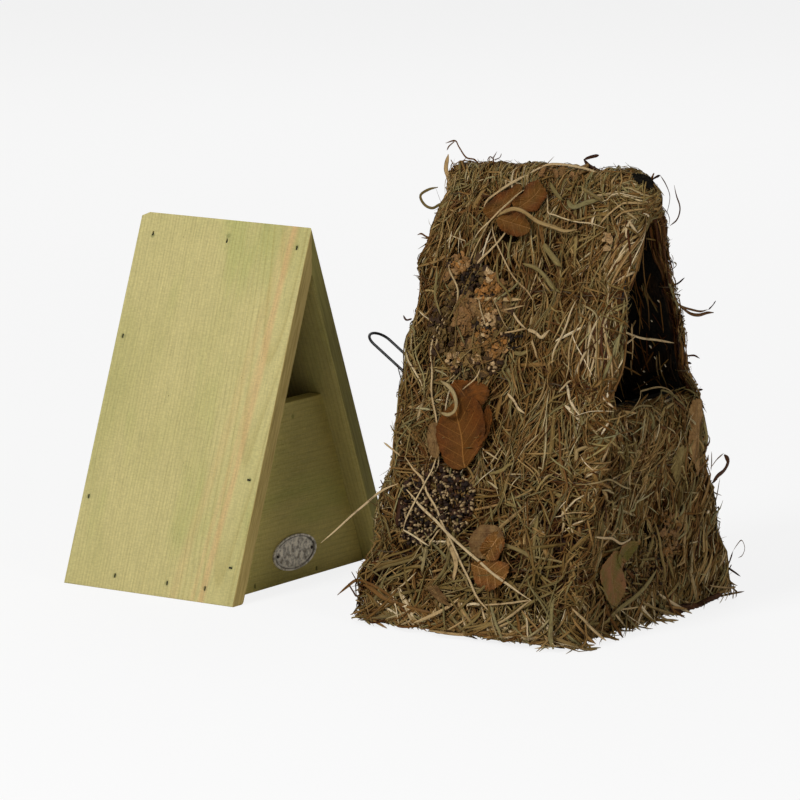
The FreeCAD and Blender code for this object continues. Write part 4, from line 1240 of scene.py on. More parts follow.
# Single straws, placed as the object shows them: wall, width, tone, shade, lift, and points (t, v) on it
WALL_STRAWS = (
    ("left", 2.0, 0.90, 1.05, 4.5, ((-43, 300), (-41, 307), (-32, 314), (-20, 321), (-9, 326))),
    ("left", 1.3, 0.95, 1.00, 9.5, ((-48, 277), (-42, 285), (-35, 292), (-28, 300), (-20, 308), (-12, 316))),
    ("left", 1.3, 0.88, 0.95, 5.0, ((-35, 293), (-39, 281), (-44, 269), (-47, 258), (-50, 247))),
    ("left", 1.3, 0.90, 1.00, 5.0, ((-34, 292), (-30, 284), (-25, 275), (-20, 268), (-14, 261), (-6, 252),
                                    (5, 245), (12, 238))),
    ("left", 2.9, 0.82, 0.92, 11.0, ((-32, 296), (-26, 299), (-21, 301), (-16, 302), (-10, 301), (-3, 298),
                                     (6, 294), (17, 292), (26, 290), (35, 292))),
    ("left", 1.0, 0.96, 1.05, 7.0, ((-2, 322), (2, 320), (7, 316), (9, 310), (11, 305), (13, 301), (19, 300),
                                    (28, 298), (38, 297), (48, 297), (58, 295))),
    ("left", 3.0, 0.70, 0.95, 5.0, ((9, 323), (15, 316), (21, 311))),
    ("left", 3.6, 0.72, 1.05, 5.0, ((25, 312), (32, 307), (41, 311), (50, 314))),
    ("left", 2.8, 0.68, 0.95, 5.0, ((34, 322), (43, 318), (55, 313))),
    ("left", 4.6, 0.66, 1.05, 5.0, ((12, 280), (19, 273), (29, 265))),
    ("left", 2.9, 0.66, 1.10, 5.5, ((-2, 264), (9, 262), (18, 257), (25, 250), (31, 247))),
    ("left", 1.4, 0.94, 1.05, 5.5, ((44, 244), (43, 234), (42, 224), (40, 215), (37, 206), (36, 198))),
    ("left", 1.2, 0.86, 0.95, 5.0, ((52, 230), (49, 218), (49, 206), (50, 195), (47, 186))),
    ("left", 1.9, 0.92, 1.05, 5.5, ((62, 209), (59, 200), (57, 191))),
    ("left", 1.4, 0.90, 1.05, 5.5, ((44, 177), (48, 181), (54, 187))),
    ("left", 2.0, 0.97, 1.05, 5.5, ((2, 173), (10, 168), (15, 163), (20, 160))),
    ("left", 3.0, 0.90, 0.95, 6.0, ((-42, 235), (-24, 237), (-7, 238), (2, 239))),
    ("left", 1.2, 0.90, 1.00, 5.5, ((-14, 230), (-4, 232), (5, 235))),
    ("left", 1.5, 0.95, 1.05, 5.5, ((-4, 230), (2, 224), (9, 219))),
    ("left", 1.4, 0.90, 1.00, 5.5, ((-11, 214), (-1, 216), (10, 219))),
    ("left", 2.4, 0.90, 1.05, 5.5, ((9, 219), (18, 217), (24, 214), (28, 220))),
    ("left", 1.8, 0.86, 1.00, 5.5, ((16, 212), (20, 205), (22, 199))),
    ("left", 3.0, 0.66, 1.10, 5.0, ((1, 202), (9, 201), (15, 204))),
    ("left", 1.5, 0.70, 1.05, 5.0, ((-2, 201), (-1, 193), (-3, 188), (2, 182), (5, 175))),
    ("left", 1.3, 0.96, 1.00, 5.5, ((-57, 230), (-64, 208), (-62, 179), (-57, 162), (-47, 134), (-45, 117),
                                    (-52, 105))),
    ("left", 1.5, 0.90, 1.00, 5.0, ((-55, 226), (-60, 214), (-61, 200), (-57, 190))),
    ("left", 3.0, 0.80, 1.10, 13.0, ((-54, 176), (-45, 172), (-38, 164), (-37, 157), (-42, 153), (-51, 154))),
    ("left", 1.9, 0.95, 0.98, 6.0, ((-76, 120), (-65, 112), (-55, 106), (-48, 97), (-40, 89), (-33, 79),
                                    (-25, 69), (-17, 58), (-9, 48), (0, 38), (10, 27), (22, 18))),
    ("left", 1.4, 0.97, 1.00, 7.5, ((-47, 124), (-49, 113), (-52, 103), (-57, 90), (-61, 79), (-64, 69))),
    ("left", 1.4, 1.00, 1.05, 7.5, ((-64, 69), (-53, 65), (-41, 60))),
    ("left", 1.3, 0.92, 1.00, 7.0, ((-41, 60), (-37, 66), (-33, 73))),
    ("left", 2.0, 0.95, 1.05, 7.0, ((-72, 100), (-60, 92), (-48, 84), (-33, 75), (-19, 66), (-4, 58),
                                    (10, 50), (23, 44), (37, 38), (51, 32))),
    ("left", 4.0, 0.88, 0.95, 5.0, ((-26, 67), (-20, 59), (-15, 49), (-14, 37))),
    ("left", 3.2, 0.76, 1.10, 5.0, ((-47, 52), (-42, 50), (-41, 58))),
    ("left", 3.0, 0.76, 1.05, 5.0, ((-42, 60), (-42, 50), (-42, 41))),
    ("left", 3.4, 0.04, 0.70, 4.0, ((-72, 92), (-70, 82), (-69, 70))),
    ("left", 1.9, 1.00, 1.20, 5.5, ((-1, 22), (5, 24), (11, 24))),
    ("left", 1.4, 0.92, 1.00, 5.5, ((11, 24), (35, 28), (51, 32))),
    ("left", 1.8, 0.88, 1.00, 6.0, ((51, 32), (41, 22), (30, 14), (16, 7), (3, 2))),
    ("left", 3.2, 0.30, 1.00, 5.0, ((-86, 27), (-78, 24), (-68, 19), (-54, 16), (-40, 14), (-29, 14))),
    ("left", 2.6, 0.60, 1.10, 5.0, ((-21, 17), (-3, 9), (14, 9), (31, 9))),
    ("left", 3.8, 0.68, 1.15, 13.0, ((70, 36), (71, 24), (72, 12), (74, 1))),
    ("left", 1.6, 0.92, 1.00, 5.0, ((-46, 250), (-40, 262), (-30, 272), (-21, 283), (-10, 303))),
    ("left", 1.6, 0.90, 0.90, 5.0, ((56, 295), (64, 304), (73, 312), (84, 320))),
    ("left", 1.6, 0.86, 0.85, 5.5, ((68, 298), (77, 307), (86, 315))),
    ("left", 2.0, 0.92, 1.10, 5.0, ((79, 303), (78, 295), (79, 287))),
    ("left", 2.0, 0.90, 1.10, 5.0, ((82, 302), (85, 296), (88, 290))),
    ("front", 1.9, 0.92, 1.15, 5.0, ((-72, 74), (-59, 71), (-49, 69), (-40, 64), (-30, 64), (-22, 66))),
    ("front", 2.6, 0.64, 1.15, 4.5, ((-59, 61), (-43, 61), (-21, 62))),
    ("front", 3.2, 0.64, 1.20, 6.0, ((-62, 8), (-45, 16), (-28, 22), (-15, 27), (-2, 32), (11, 38))),
    ("front", 2.6, 0.62, 1.10, 6.0, ((-66, 39), (-56, 27), (-45, 18))),
    ("front", 1.4, 0.88, 1.00, 5.5, ((-45, 18), (-28, 16), (-16, 15))),
    ("front", 2.2, 0.66, 1.00, 5.0, ((-80, 14), (-61, 12), (-44, 12))),
    ("front", 1.4, 0.80, 1.10, 5.0, ((-78, 110), (-57, 112), (-38, 104), (-22, 99))),
    ("front", 1.3, 0.95, 1.00, 7.0, ((-58, 188), (-52, 176), (-49, 166), (-49, 156))),
    ("front", 1.3, 0.85, 1.05, 5.0, ((-35, 158), (-20, 162), (-5, 166), (8, 167), (19, 164), (26, 160))),
    ("front", 1.3, 0.75, 1.00, 5.5, ((-35, 157), (-18, 159), (-2, 158))),
    ("front", 1.4, 0.70, 1.00, 5.5, ((0, 158), (14, 160), (21, 161), (34, 156), (45, 148))),
)

# Straws that stand clear of the cover, in a wall's plane: wall, width, tone, shade, and points (t, v, lift)
FREE_STRAWS = (
    ("left", 1.8, 0.92, 1.05, ((-9, 326, 3), (3, 334, 1), (15, 336, 1), (34, 335, -1), (52, 331, -4))),
    ("left", 1.7, 0.95, 1.05, ((-134, 52, 0), (-122, 62, 2), (-110, 73, 4), (-99, 82, 6), (-88, 91, 8),
                               (-80, 96, 9), (-72, 100, 8))),
    ("left", 1.4, 0.95, 0.95, ((-93, 128, 4), (-84, 124, 6), (-76, 120, 6))),
    ("left", 1.2, 0.25, 0.80, ((-84, 344, -6), (-75, 346, -4), (-71, 342, -4), (-64, 335, -5), (-57, 334, -6),
                               (-52, 329, -7))),
    ("left", 1.0, 0.25, 0.80, ((-75, 346, -4), (-80, 342, -5), (-82, 339, -6))),
    ("left", 1.0, 0.25, 0.80, ((-64, 335, -5), (-68, 328, -5), (-70, 322, -5))),
    ("left", 3.2, 0.90, 0.85, ((-79, 336, -1), (-79, 326, -1), (-76, 319, -2), (-74, 310, -3))),
    ("left", 2.0, 0.72, 0.80, ((-83, 312, 1), (-90, 310, 1), (-97, 306, 0), (-96, 302, 0), (-91, 298, 0),
                               (-85, 297, 0), (-79, 300, 1), (-72, 303, 1))),
    ("left", 1.3, 0.30, 0.70, ((-95, 277, -2), (-91, 278, -1), (-85, 276, 0), (-77, 275, 0))),
    ("left", 0.9, 0.15, 0.70, ((-40, 326, -3), (-40, 333, -2), (-41, 336, -2), (-39, 341, -2))),
    ("left", 0.8, 0.15, 0.70, ((-40, 335, -2), (-44, 337, -2), (-46, 334, -2))),
    ("left", 0.8, 0.15, 0.70, ((-40, 335, -2), (-36, 337, -2), (-35, 340, -2))),
    ("left", 1.4, 0.10, 0.60, ((-95, 219, -2), (-91, 216, -1), (-85, 217, 1))),
    ("left", 2.4, 0.04, 0.55, ((45, 345, -8), (39, 343, -7), (34, 341, -7))),
    ("left", 2.6, 0.04, 0.55, ((34, 341, -7), (39, 337, -7), (47, 334, -8), (56, 331, -9))),
    ("left", 2.2, 0.30, 0.90, ((-112, 17, -3), (-104, 24, -2), (-96, 29, 0), (-84, 28, 3), (-70, 24, 4),
                               (-58, 19, 4))),
    ("left", 1.4, 0.12, 0.70, ((-103, 26, -3), (-97, 21, -2), (-92, 18, 0), (-86, 20, 2))),
    ("left", 1.4, 0.10, 0.70, ((-88, 8, 1), (-84, 4, 5), (-76, 1, 9), (-69, 2, 9), (-63, 6, 4))),
    ("left", 1.8, 0.30, 0.80, ((-60, 6, 3), (-55, 2, 8), (-48, 1, 12), (-42, 2, 10), (-37, 5, 3))),
    ("left", 1.4, 0.15, 0.70, ((-26, 4, 4), (-21, 1, 9), (-15, 1, 9), (-9, 4, 4))),
    ("left", 2.2, 0.88, 0.95, ((-22, 1, 16), (-10, 1, 12), (2, 2, 9), (14, 5, 7), (26, 10, 6), (38, 17, 5))),
    ("front", 1.3, 0.20, 0.80, ((33, 306, -1), (36, 298, -1), (40, 291, -1), (40, 286, -1), (36, 281, -1),
                                (27, 278, -1))),
    ("front", 1.8, 0.04, 0.50, ((2, 312, -1), (8, 314, -1), (15, 315, -1))),
    ("front", 0.9, 0.20, 0.70, ((15, 315, -1), (22, 308, -1), (27, 300, -1), (26, 293, -1), (22, 286, -1))),
    ("front", 1.3, 0.05, 0.50, ((28, 237, -1), (36, 236, -1), (46, 239, -1))),
    ("front", 2.4, 0.22, 0.90, ((30, 226, -1), (38, 221, -1), (52, 213, -1), (64, 210, -1), (75, 210, -1),
                                (84, 209, -1))),
    ("front", 1.6, 0.30, 0.80, ((30, 224, -1), (42, 219, -1), (55, 215, -1), (68, 212, -2), (77, 212, -2))),
    ("front", 1.3, 0.05, 0.50, ((77, 212, -2), (82, 214, -2), (87, 217, -2))),
    ("front", 1.4, 0.15, 0.60, ((43, 184, -1), (50, 183, -1), (58, 182, -1), (65, 179, -1))),
    ("front", 1.8, 0.05, 0.50, ((44, 177, -1), (49, 178, -1), (54, 177, -1))),
    ("front", 1.2, 0.15, 0.60, ((50, 171, -1), (55, 168, -1), (61, 162, -1))),
    ("front", 1.6, 0.08, 0.50, ((56, 158, -1), (62, 157, -1), (69, 156, -1))),
    ("front", 1.3, 0.15, 0.70, ((60, 153, -1), (65, 149, -1), (71, 142, -1))),
    ("front", 1.6, 0.08, 0.50, ((66, 136, -1), (71, 132, -1), (74, 125, -1))),
    ("front", 4.2, 0.12, 0.75, ((81, 87, 0), (88, 91, 0), (95, 93, 0), (100, 96, 0), (102, 100, 0),
                                (97, 105, 0))),
    ("front", 1.0, 0.40, 0.80, ((78, 98, 0), (87, 103, 0), (96, 106, 0))),
    ("front", 0.9, 0.60, 0.80, ((80, 62, 0), (86, 75, 0), (91, 89, 0))),
    ("front", 1.0, 0.30, 0.80, ((79, 96, 0), (80, 102, 0), (80, 110, 0))),
    ("front", 1.3, 0.60, 0.80, ((-4, 273, -1), (6, 271, -1), (17, 268, -1), (27, 268, -1))),
    ("front", 1.0, 0.50, 0.70, ((-9, 266, -3), (-7, 253, -4), (-5, 240, -4))),
    ("front", 1.4, 0.10, 0.60, ((80, 62, -1), (85, 67, -1), (89, 68, -1), (87, 61, -1))),
    ("front", 1.5, 0.05, 0.55, ((94, 23, -1), (101, 22, -1), (109, 18, -1), (118, 13, -1))),
    ("front", 1.4, 0.08, 0.60, ((96, 19, -1), (103, 26, -1), (108, 33, -1))),
    ("front", 0.8, 0.40, 0.70, ((108, 33, -1), (114, 37, -1), (120, 39, -1), (124, 33, -1), (121, 28, -1),
                                (115, 27, -1))),
    ("front", 1.5, 0.55, 0.80, ((84, 4, -1), (98, 3, -1), (112, 2, -1), (123, 1, -1))),
    ("front", 1.6, 0.97, 1.00, ((-42, 215, -1), (-28, 210, -2), (-10, 204, -2), (9, 200, -2), (30, 195, -1))),
    ("front", 1.4, 0.92, 1.00, ((-18, 207, -1), (-27, 204, -1), (-38, 201, -2))),
    ("front", 1.2, 0.80, 0.80, ((-38, 202, -2), (-31, 198, -2), (-23, 195, -1))),
    ("front", 1.8, 0.88, 0.90, ((-23, 216, -2), (-23, 208, -2), (-22, 202, -2), (-23, 191, -2))),
    ("front", 1.6, 0.86, 0.90, ((-34, 242, 1), (-30, 234, 1), (-29, 225, 0), (-28, 213, 0))),
    ("front", 1.6, 0.80, 0.80, ((-52, 182, 0), (-46, 179, 1), (-40, 180, 1), (-35, 183, 1))),
    ("front", 1.2, 0.55, 0.60, ((-38, 192, -14), (-20, 186, -14), (-2, 178, -14))),
    ("front", 1.0, 0.60, 0.50, ((-6, 262, -10), (-2, 244, -10), (2, 226, -10), (3, 208, -10))),
)


def straw_arrays(place, normal, wide, tone, shade, seed):
    shade = shade * 0.9
    rings = len(place)
    share = np.linspace(-1, 1, rings)
    widths = wide * np.clip(1.08 - np.abs(share) ** 5, 0.3, 1)
    wobble = 0.25 * np.sin(np.linspace(0, 5, rings) + seed)
    crown = np.clip(0.42 - 0.09 * wide, 0.07, 0.4)
    return blade_group(place[None], normal[None], widths[None], crown, wobble, np.array([tone]),
                       np.array([shade]))


def lay_single_straws():
    rings = 30
    made = []
    for index, (wall, wide, tone, shade, lift, points) in enumerate(WALL_STRAWS):
        path = smooth_path(points, rings)
        ends = 1 - np.abs(np.linspace(-1, 1, rings)) ** 6
        t, v = aimed(on_wall, wall, path[:, 0], path[:, 1], lift, fold=wall == "front")
        place, normal = on_wall(wall, t, v, lift - 2.5 + 2.5 * ends, fold=wall == "front")
        made.append(straw_arrays(place, normal, wide, tone, shade, index))
    for index, (wall, wide, tone, shade, points) in enumerate(FREE_STRAWS):
        path = smooth_path(points, rings)
        t, v = aimed(beside_wall, wall, path[:, 0], path[:, 1], path[:, 2])
        place, normal = beside_wall(wall, t, v, path[:, 2])
        place[:, 2] = np.maximum(place[:, 2], 0.8)
        made.append(straw_arrays(place, normal, wide, tone, shade, index))
    blade_piece("single_straws", merge(made))


# Leaves: curled shells with a midrib, side veins and a dry net between them

# How far a side vein climbs along the leaf from its midrib to its rim, as a share of the midrib
VEIN_SLOPE = 0.34


def leaf_material(name, base, dark, vein, vein_strength=0.5, side_veins=7.0, blotch_size=150.0, gold=None,
                  specular=0.09):
    """gold is the colour towards the midrib."""
    s = Shader(name, roughness=0.62, specular=specular)
    p = s.place()
    along = s.attribute("leaf_along")
    across = s.math("ABSOLUTE", s.attribute("leaf_across"))
    tone = s.noise(p, blotch_size, 4.0, 0.6)
    colour = s.mix(s.rising(tone, 0.32, 0.68), base, dark)
    colour = s.over(colour, dark, s.rising(across, 0.55, 1.05), 0.35)
    if gold:
        colour = s.over(colour, gold, s.falling(across, 0.1, 0.8), 0.55)
    net = s.node("TexVoronoi", feature="DISTANCE_TO_EDGE")
    s.put(p, net.inputs["Vector"])
    s.put(620.0, net.inputs["Scale"])
    colour = s.over(colour, vein, s.falling(net.outputs["Distance"], 0.02, 0.10), 0.22 * vein_strength)
    wave = s.math("FRACT", s.minus(s.times(along, side_veins), s.times(across, side_veins * VEIN_SLOPE)))
    line = s.falling(s.apart(wave, 0.5), 0.012, 0.055)
    line = s.times(line, s.falling(across, 0.55, 0.95))
    ribs = s.math("MAXIMUM", s.times(line, 0.65), s.falling(across, 0.008, 0.036))
    colour = s.over(colour, vein, ribs, vein_strength)
    fine = s.noise(p, 1500.0, 3.0, 0.6)
    colour = s.mix(0.6, colour, s.ramp(fine, (0.3, 0.6), (0.7, 1.35)), "MULTIPLY")
    spots = s.rising(s.noise(p, 900.0, 2.0), 0.68, 0.76)
    colour = s.over(colour, srgb(58, 32, 16), spots, 0.5)
    s.colour(colour)
    s.roughness(s.plus(0.52, s.times(tone, 0.25)))
    s.bump(s.plus(s.times(ribs, 0.8), s.times(tone, 0.5)), 0.0004, 0.8)
    return s.material


# The rings of a leaf's mesh, from its middle to its rim, and the number of points round each
LEAF_SHARES = np.array([0.0, 0.08, 0.18, 0.3, 0.42, 0.54, 0.66, 0.77, 0.87, 0.95, 1.0])
LEAF_COUNT = 84


def leaf_faces():
    """A leaf's faces: a fan and rings of quads above, the same turned over below, and its rim."""
    rings = len(LEAF_SHARES) - 1
    half = 1 + rings * LEAF_COUNT
    faces = []
    for sheet, start in ((0, 0), (1, half)):
        for k in range(LEAF_COUNT):
            j = (k + 1) % LEAF_COUNT
            fan = (start, start + 1 + k, start + 1 + j)
            faces.append(fan if sheet == 0 else fan[::-1])
            for r in range(rings - 1):
                a = start + 1 + r * LEAF_COUNT
                quad = (a + k, a + LEAF_COUNT + k, a + LEAF_COUNT + j, a + j)
                faces.append(quad if sheet == 0 else quad[::-1])
    last = 1 + (rings - 1) * LEAF_COUNT
    for k in range(LEAF_COUNT):
        j = (k + 1) % LEAF_COUNT
        faces.append((last + j, last + k, half + last + k, half + last + j))
    return faces


def leaf(name, wall, outline, base, tip, material, slot, lift, cup, curl, ripple, side_veins, phase,
         ragged=0.35, thick=0.45):
    """A leaf on a wall. base and tip are the ends of its midrib; cup raises its rim and curl waves it."""
    rim = smooth_path(outline, LEAF_COUNT, closed=True)
    steps = np.arange(LEAF_COUNT)
    rim = rim + ragged * np.stack([np.sin(steps * 1.9 + phase), np.cos(steps * 2.3 + phase)], 1)
    centre = rim.mean(0)
    flat = centre + LEAF_SHARES[:, None, None] * (rim[None] - centre)
    base, tip = np.array(base, float), np.array(tip, float)
    axis = (tip - base) / np.linalg.norm(tip - base)
    side = np.array([-axis[1], axis[0]])
    reach = np.abs((rim - base) @ side).max()
    along = ((flat - base) @ axis) / np.linalg.norm(tip - base)
    across = ((flat - base) @ side) / reach
    angle = np.linspace(0, 2 * math.pi, LEAF_COUNT, endpoint=False)[None, :]
    ring = LEAF_SHARES[:, None]
    rise = cup * ring ** 2 + curl * ring ** 3 * np.sin(2 * angle + phase)
    rise = rise + 0.5 * curl * ring ** 4 * np.sin(5 * angle)
    rise = rise + ripple * np.cos(2 * math.pi * side_veins * (along - np.abs(across) * VEIN_SLOPE)) * ring
    rise = rise - 0.5 * np.exp(-(across * reach / 0.9) ** 2)
    t, v = aimed(on_wall, wall, flat[..., 0], flat[..., 1], lift)
    top, normal = on_wall(wall, t, v, lift + rise)
    bottom = top - normal * thick
    top[..., 2] = np.maximum(top[..., 2], thick + 0.4)
    bottom[..., 2] = np.maximum(bottom[..., 2], 0.4)
    points = np.concatenate([top[0, :1], top[1:].reshape(-1, 3), bottom[0, :1], bottom[1:].reshape(-1, 3)])
    values = {}
    for key, grid in (("leaf_along", along), ("leaf_across", across)):
        one = np.concatenate([grid[0, :1], grid[1:].ravel()])
        values[key] = np.concatenate([one, one])
    piece = new_piece(name, points, leaf_faces(), material, attributes=values, smooth=True)
    return piece


RUST = leaf_material("rust_leaf", srgb(94, 48, 8), srgb(68, 35, 6), srgb(158, 108, 52), 0.6,
                     gold=srgb(92, 57, 12))
DARK_RUST = leaf_material("dark_rust_leaf", srgb(114, 64, 18), srgb(66, 38, 11), srgb(140, 92, 46))
LOBED_RUST = leaf_material("lobed_rust_leaf", srgb(102, 55, 18), srgb(62, 34, 10), srgb(158, 114, 66), 0.6,
                           4.0, gold=srgb(104, 72, 24))
FADED_RUST = leaf_material("faded_rust_leaf", srgb(118, 68, 26), srgb(80, 46, 16), srgb(194, 146, 92), 0.8,
                           4.0, gold=srgb(112, 80, 30))
TAN = leaf_material("tan_leaf", srgb(128, 98, 58), srgb(90, 62, 34), srgb(160, 130, 88))
OLIVE = leaf_material("olive_leaf", srgb(90, 84, 32), srgb(132, 88, 56), srgb(152, 132, 80), blotch_size=64.0)
PALE_POD = leaf_material("pale_pod", srgb(146, 126, 76), srgb(116, 96, 54), srgb(88, 68, 36), 0.6)
BLADE_TAN = leaf_material("broad_blade_tan", srgb(164, 128, 80), srgb(128, 94, 54), srgb(100, 70, 38))
# A near-black sheet for dark hollows in the hay: painted shade.
HOLLOW_SHADE = leaf_material("painted_shade_hollow", srgb(24, 13, 5), srgb(12, 7, 3), srgb(34, 20, 8), 0.3, specular=0.0)
HEM = leaf_material("hem_leaf", srgb(86, 54, 32), srgb(56, 34, 20), srgb(110, 74, 46), 0.4)


# Leaves: name, the CAD node it stands for, wall, material, slot, outline, both ends of the midrib, and then
# lift, cup, curl, ripple, side veins, phase and raggedness
LEAVES = (
    ("large_brown_leaf_blade", "large_brown_leaf", "left", RUST, "brown_leaf",
     ((-40, 160), (-32, 165), (-22, 167), (-14, 160), (-10, 146), (-10, 134), (-14, 124), (-20, 117),
      (-27, 115), (-36, 120), (-43, 128), (-48, 138), (-49, 147), (-46, 155)),
     (-18, 113), (-40, 166), (6.5, 1.6, 1.8, 0.3, 7.0, 0.0, 0.35)),
    ("brown_leaf_behind_blade", "brown_leaf_behind", "left", DARK_RUST, "brown_leaf",
     ((-41, 176), (-32, 178), (-20, 178), (-12, 173), (-12, 164), (-20, 158), (-30, 157), (-38, 161),
      (-43, 168)),
     (-42, 178), (-24, 160), (5.5, 1.5, 1.6, 0.3, 5.0, 1.0, 0.5)),
    ("brown_leaf_edge", None, "left", DARK_RUST, "brown_leaf",
     ((-9, 163), (-5, 157), (-4, 146), (-6, 137), (-11, 134), (-12, 150)),
     (-8, 163), (-8, 134), (5.0, 2.5, 0.8, 0.3, 5.0, 2.0, 0.35)),
    ("tan_leaf_blade", "tan_leaf", "left", TAN, "tan_leaf",
     ((-50, 146), (-56, 143), (-55, 132), (-51, 124), (-45, 121), (-43, 128), (-47, 137)),
     (-51, 147), (-47, 120), (5.5, 1.5, 0.8, 0.25, 5.0, 0.5, 0.35)),
    ("lobed_leaf_left", "lobed_leaves", "left", LOBED_RUST, "brown_leaf",
     ((-38, 295), (-39, 301), (-34, 309), (-28, 314), (-21, 318), (-14, 319), (-10, 316), (-11, 311),
      (-17, 304), (-25, 299), (-33, 293)),
     (-38, 296), (-11, 317), (5.0, 1.8, 2.6, 0.25, 4.0, 0.4, 0.35)),
    ("lobed_leaf_right", None, "left", LOBED_RUST, "brown_leaf",
     ((-15, 304), (-14, 311), (-11, 318), (-5, 322), (1, 323), (7, 319), (9, 313), (5, 306),
      (-1, 301), (-8, 300)),
     (-13, 301), (5, 320), (6.0, 2.6, 2.8, 0.3, 4.0, 1.7, 0.35)),
    ("lobed_leaf_low", None, "left", LOBED_RUST, "brown_leaf",
     ((-27, 291), (-24, 298), (-17, 301), (-10, 301), (-3, 297), (1, 291), (-2, 285), (-8, 283), (-15, 283),
      (-22, 286)),
     (-27, 294), (-1, 289), (6.5, 2.6, 2.6, 0.3, 4.0, 2.6, 0.35)),
    ("low_tan_leaf_blade", "low_tan_leaf", "left", TAN, "tan_leaf",
     ((-4, 62), (-4, 73), (2, 79), (12, 80), (20, 76), (22, 67), (19, 59), (9, 56), (0, 57)),
     (16, 80), (4, 56), (5.0, 1.4, 1.6, 0.4, 5.0, 0.9, 0.45)),
    ("low_rust_patch", None, "left", FADED_RUST, "brown_leaf",
     ((5, 60), (8, 70), (14, 76), (21, 73), (23, 65), (20, 58), (12, 55)),
     (18, 76), (8, 57), (6.2, 1.2, 1.2, 0.3, 4.0, 0.3, 0.45)),
    ("low_brown_leaf_blade", "low_brown_leaf", "left", FADED_RUST, "brown_leaf",
     ((-1, 50), (6, 54), (14, 56), (21, 56), (29, 54), (31, 46), (25, 38), (17, 34), (8, 36), (2, 42)),
     (-1, 51), (30, 44), (5.0, 1.2, 2.4, 0.4, 4.0, 1.4, 0.45)),
    ("pink_flake", None, "left", TAN, "tan_leaf",
     ((-34, 30), (-27, 33), (-21, 28), (-14, 21), (-22, 22), (-28, 25)),
     (-33, 31), (-15, 22), (6.0, 1.0, 1.2, 0.2, 3.0, 0.2, 0.35)),
    # Two near-black sheets, by the lobed leaves and in a hollow of the front sill: painted shade.
    ("painted_shade_by_leaves", None, "left", HOLLOW_SHADE, "brown_leaf",
     ((-30, 290), (-24, 286), (-16, 283), (-11, 281), (-15, 278), (-22, 279), (-28, 283)),
     (-30, 290), (-11, 280), (4.0, -0.8, 0.8, 0.3, 3.0, 0.1, 0.8)),
    ("painted_shade_front_hollow", None, "front", HOLLOW_SHADE, "brown_leaf",
     ((-10, 75), (-4, 74), (3, 67), (2, 58), (-4, 57), (-7, 65)),
     (-9, 74), (0, 58), (3.4, -1.0, 0.8, 0.2, 3.0, 0.4, 0.9)),
    ("hem_flap", None, "front", HEM, "brown_leaf",
     ((20, 3), (36, 1), (60, 1), (88, 2), (94, 5), (78, 6), (62, 4), (38, 7), (22, 6)),
     (20, 4), (94, 5), (6.0, 1.0, 1.0, 0.2, 3.0, 0.1, 0.35)),
    ("olive_leaf_blade", "olive_leaf", "front", OLIVE, "olive_leaf",
     ((-62, 55), (-54, 61), (-46, 59), (-39, 48), (-36, 38), (-38, 28), (-46, 21), (-56, 25),
      (-62, 34), (-65, 45)),
     (-55, 61), (-46, 20), (5.5, 1.6, 1.0, 0.2, 5.0, 0.6, 0.35)),
    ("olive_leaf_fold", None, "front", OLIVE, "olive_leaf",
     ((-50, 57), (-42, 62), (-30, 64), (-21, 62), (-24, 56), (-34, 50), (-41, 46)),
     (-48, 50), (-22, 62), (4.5, 2.0, 1.0, 0.2, 4.0, 1.5, 0.35)),
    ("seed_pod_husk", "seed_pod", "front", PALE_POD, "seed_heads",
     ((33, 119), (39, 121), (44, 115), (44, 104), (38, 94), (33, 101), (32, 110)),
     (38, 121), (38, 94), (5.0, -2.2, 0.4, 0.15, 4.0, 0.6, 0.35)),
    ("seed_pod_second", None, "front", PALE_POD, "seed_heads",
     ((44, 119), (49, 116), (51, 108), (48, 102), (45, 108)),
     (46, 119), (49, 102), (4.5, -1.6, 0.4, 0.15, 4.0, 1.6, 0.35)),
    ("broad_blade_leaf", "broad_blade", "front", BLADE_TAN, "hay",
     ((53, 147), (60, 151), (66, 147), (68, 127), (68, 109), (65, 95), (58, 106), (51, 124)),
     (60, 151), (64, 94), (4.5, -1.0, 1.4, 0.15, 2.0, 0.2, 0.7)),
)


def lay_leaves():
    for name, node, wall, material, slot, outline, base, tip, form in LEAVES:
        piece = leaf(name, wall, outline, base, tip, material, slot, *form)
        if node:
            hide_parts(node)


# Small pieces: flakes of bark, nodules and seed capsules

def lump_template():
    work = bmesh.new()
    bmesh.ops.create_icosphere(work, subdivisions=2, radius=1.0)
    points = np.array([vertex.co[:] for vertex in work.verts])
    faces = np.array([[vertex.index for vertex in face.verts] for face in work.faces])
    work.free()
    return points, faces


LUMP_POINTS, LUMP_FACES = lump_template()


def frames_for(normal, spin, lean_t, lean_v):
    """Three axes for each small piece: along, across and out, turned by spin and leaned over."""
    up = np.array([0.0, 0.0, 1.0])
    side = np.cross(up, normal)
    side /= np.linalg.norm(side, axis=-1, keepdims=True)
    climb = np.cross(normal, side)
    out = normal + side * lean_t[:, None] + climb * lean_v[:, None]
    out /= np.linalg.norm(out, axis=-1, keepdims=True)
    first = side * np.cos(spin)[:, None] + climb * np.sin(spin)[:, None]
    first -= out * (first * out).sum(-1, keepdims=True)
    first /= np.linalg.norm(first, axis=-1, keepdims=True)
    return first, np.cross(out, first), out


def seated(rng, wall, t, v, lift, lean):
    """Places for small pieces on a wall, and three axes for each, turned and leaned at random."""
    count = len(t)
    t, v = aimed(on_wall, wall, t, v, lift, whole=False)
    place, normal = on_wall(wall, t, v, lift)
    axes = frames_for(normal, rng.uniform(0, 6.28, count), rng.normal(0, lean, count),
                      rng.normal(0, lean, count))
    return place, axes


def placed(shapes, place, axes):
    """Shapes moved to their places along their axes, and kept above the floor."""
    first, second, out = axes
    points = (place[:, None] + shapes[..., :1] * first[:, None] + shapes[..., 1:2] * second[:, None]
              + shapes[..., 2:] * out[:, None])
    points[..., 2] = np.maximum(points[..., 2], 0.5)
    return points.reshape(-1, 3)


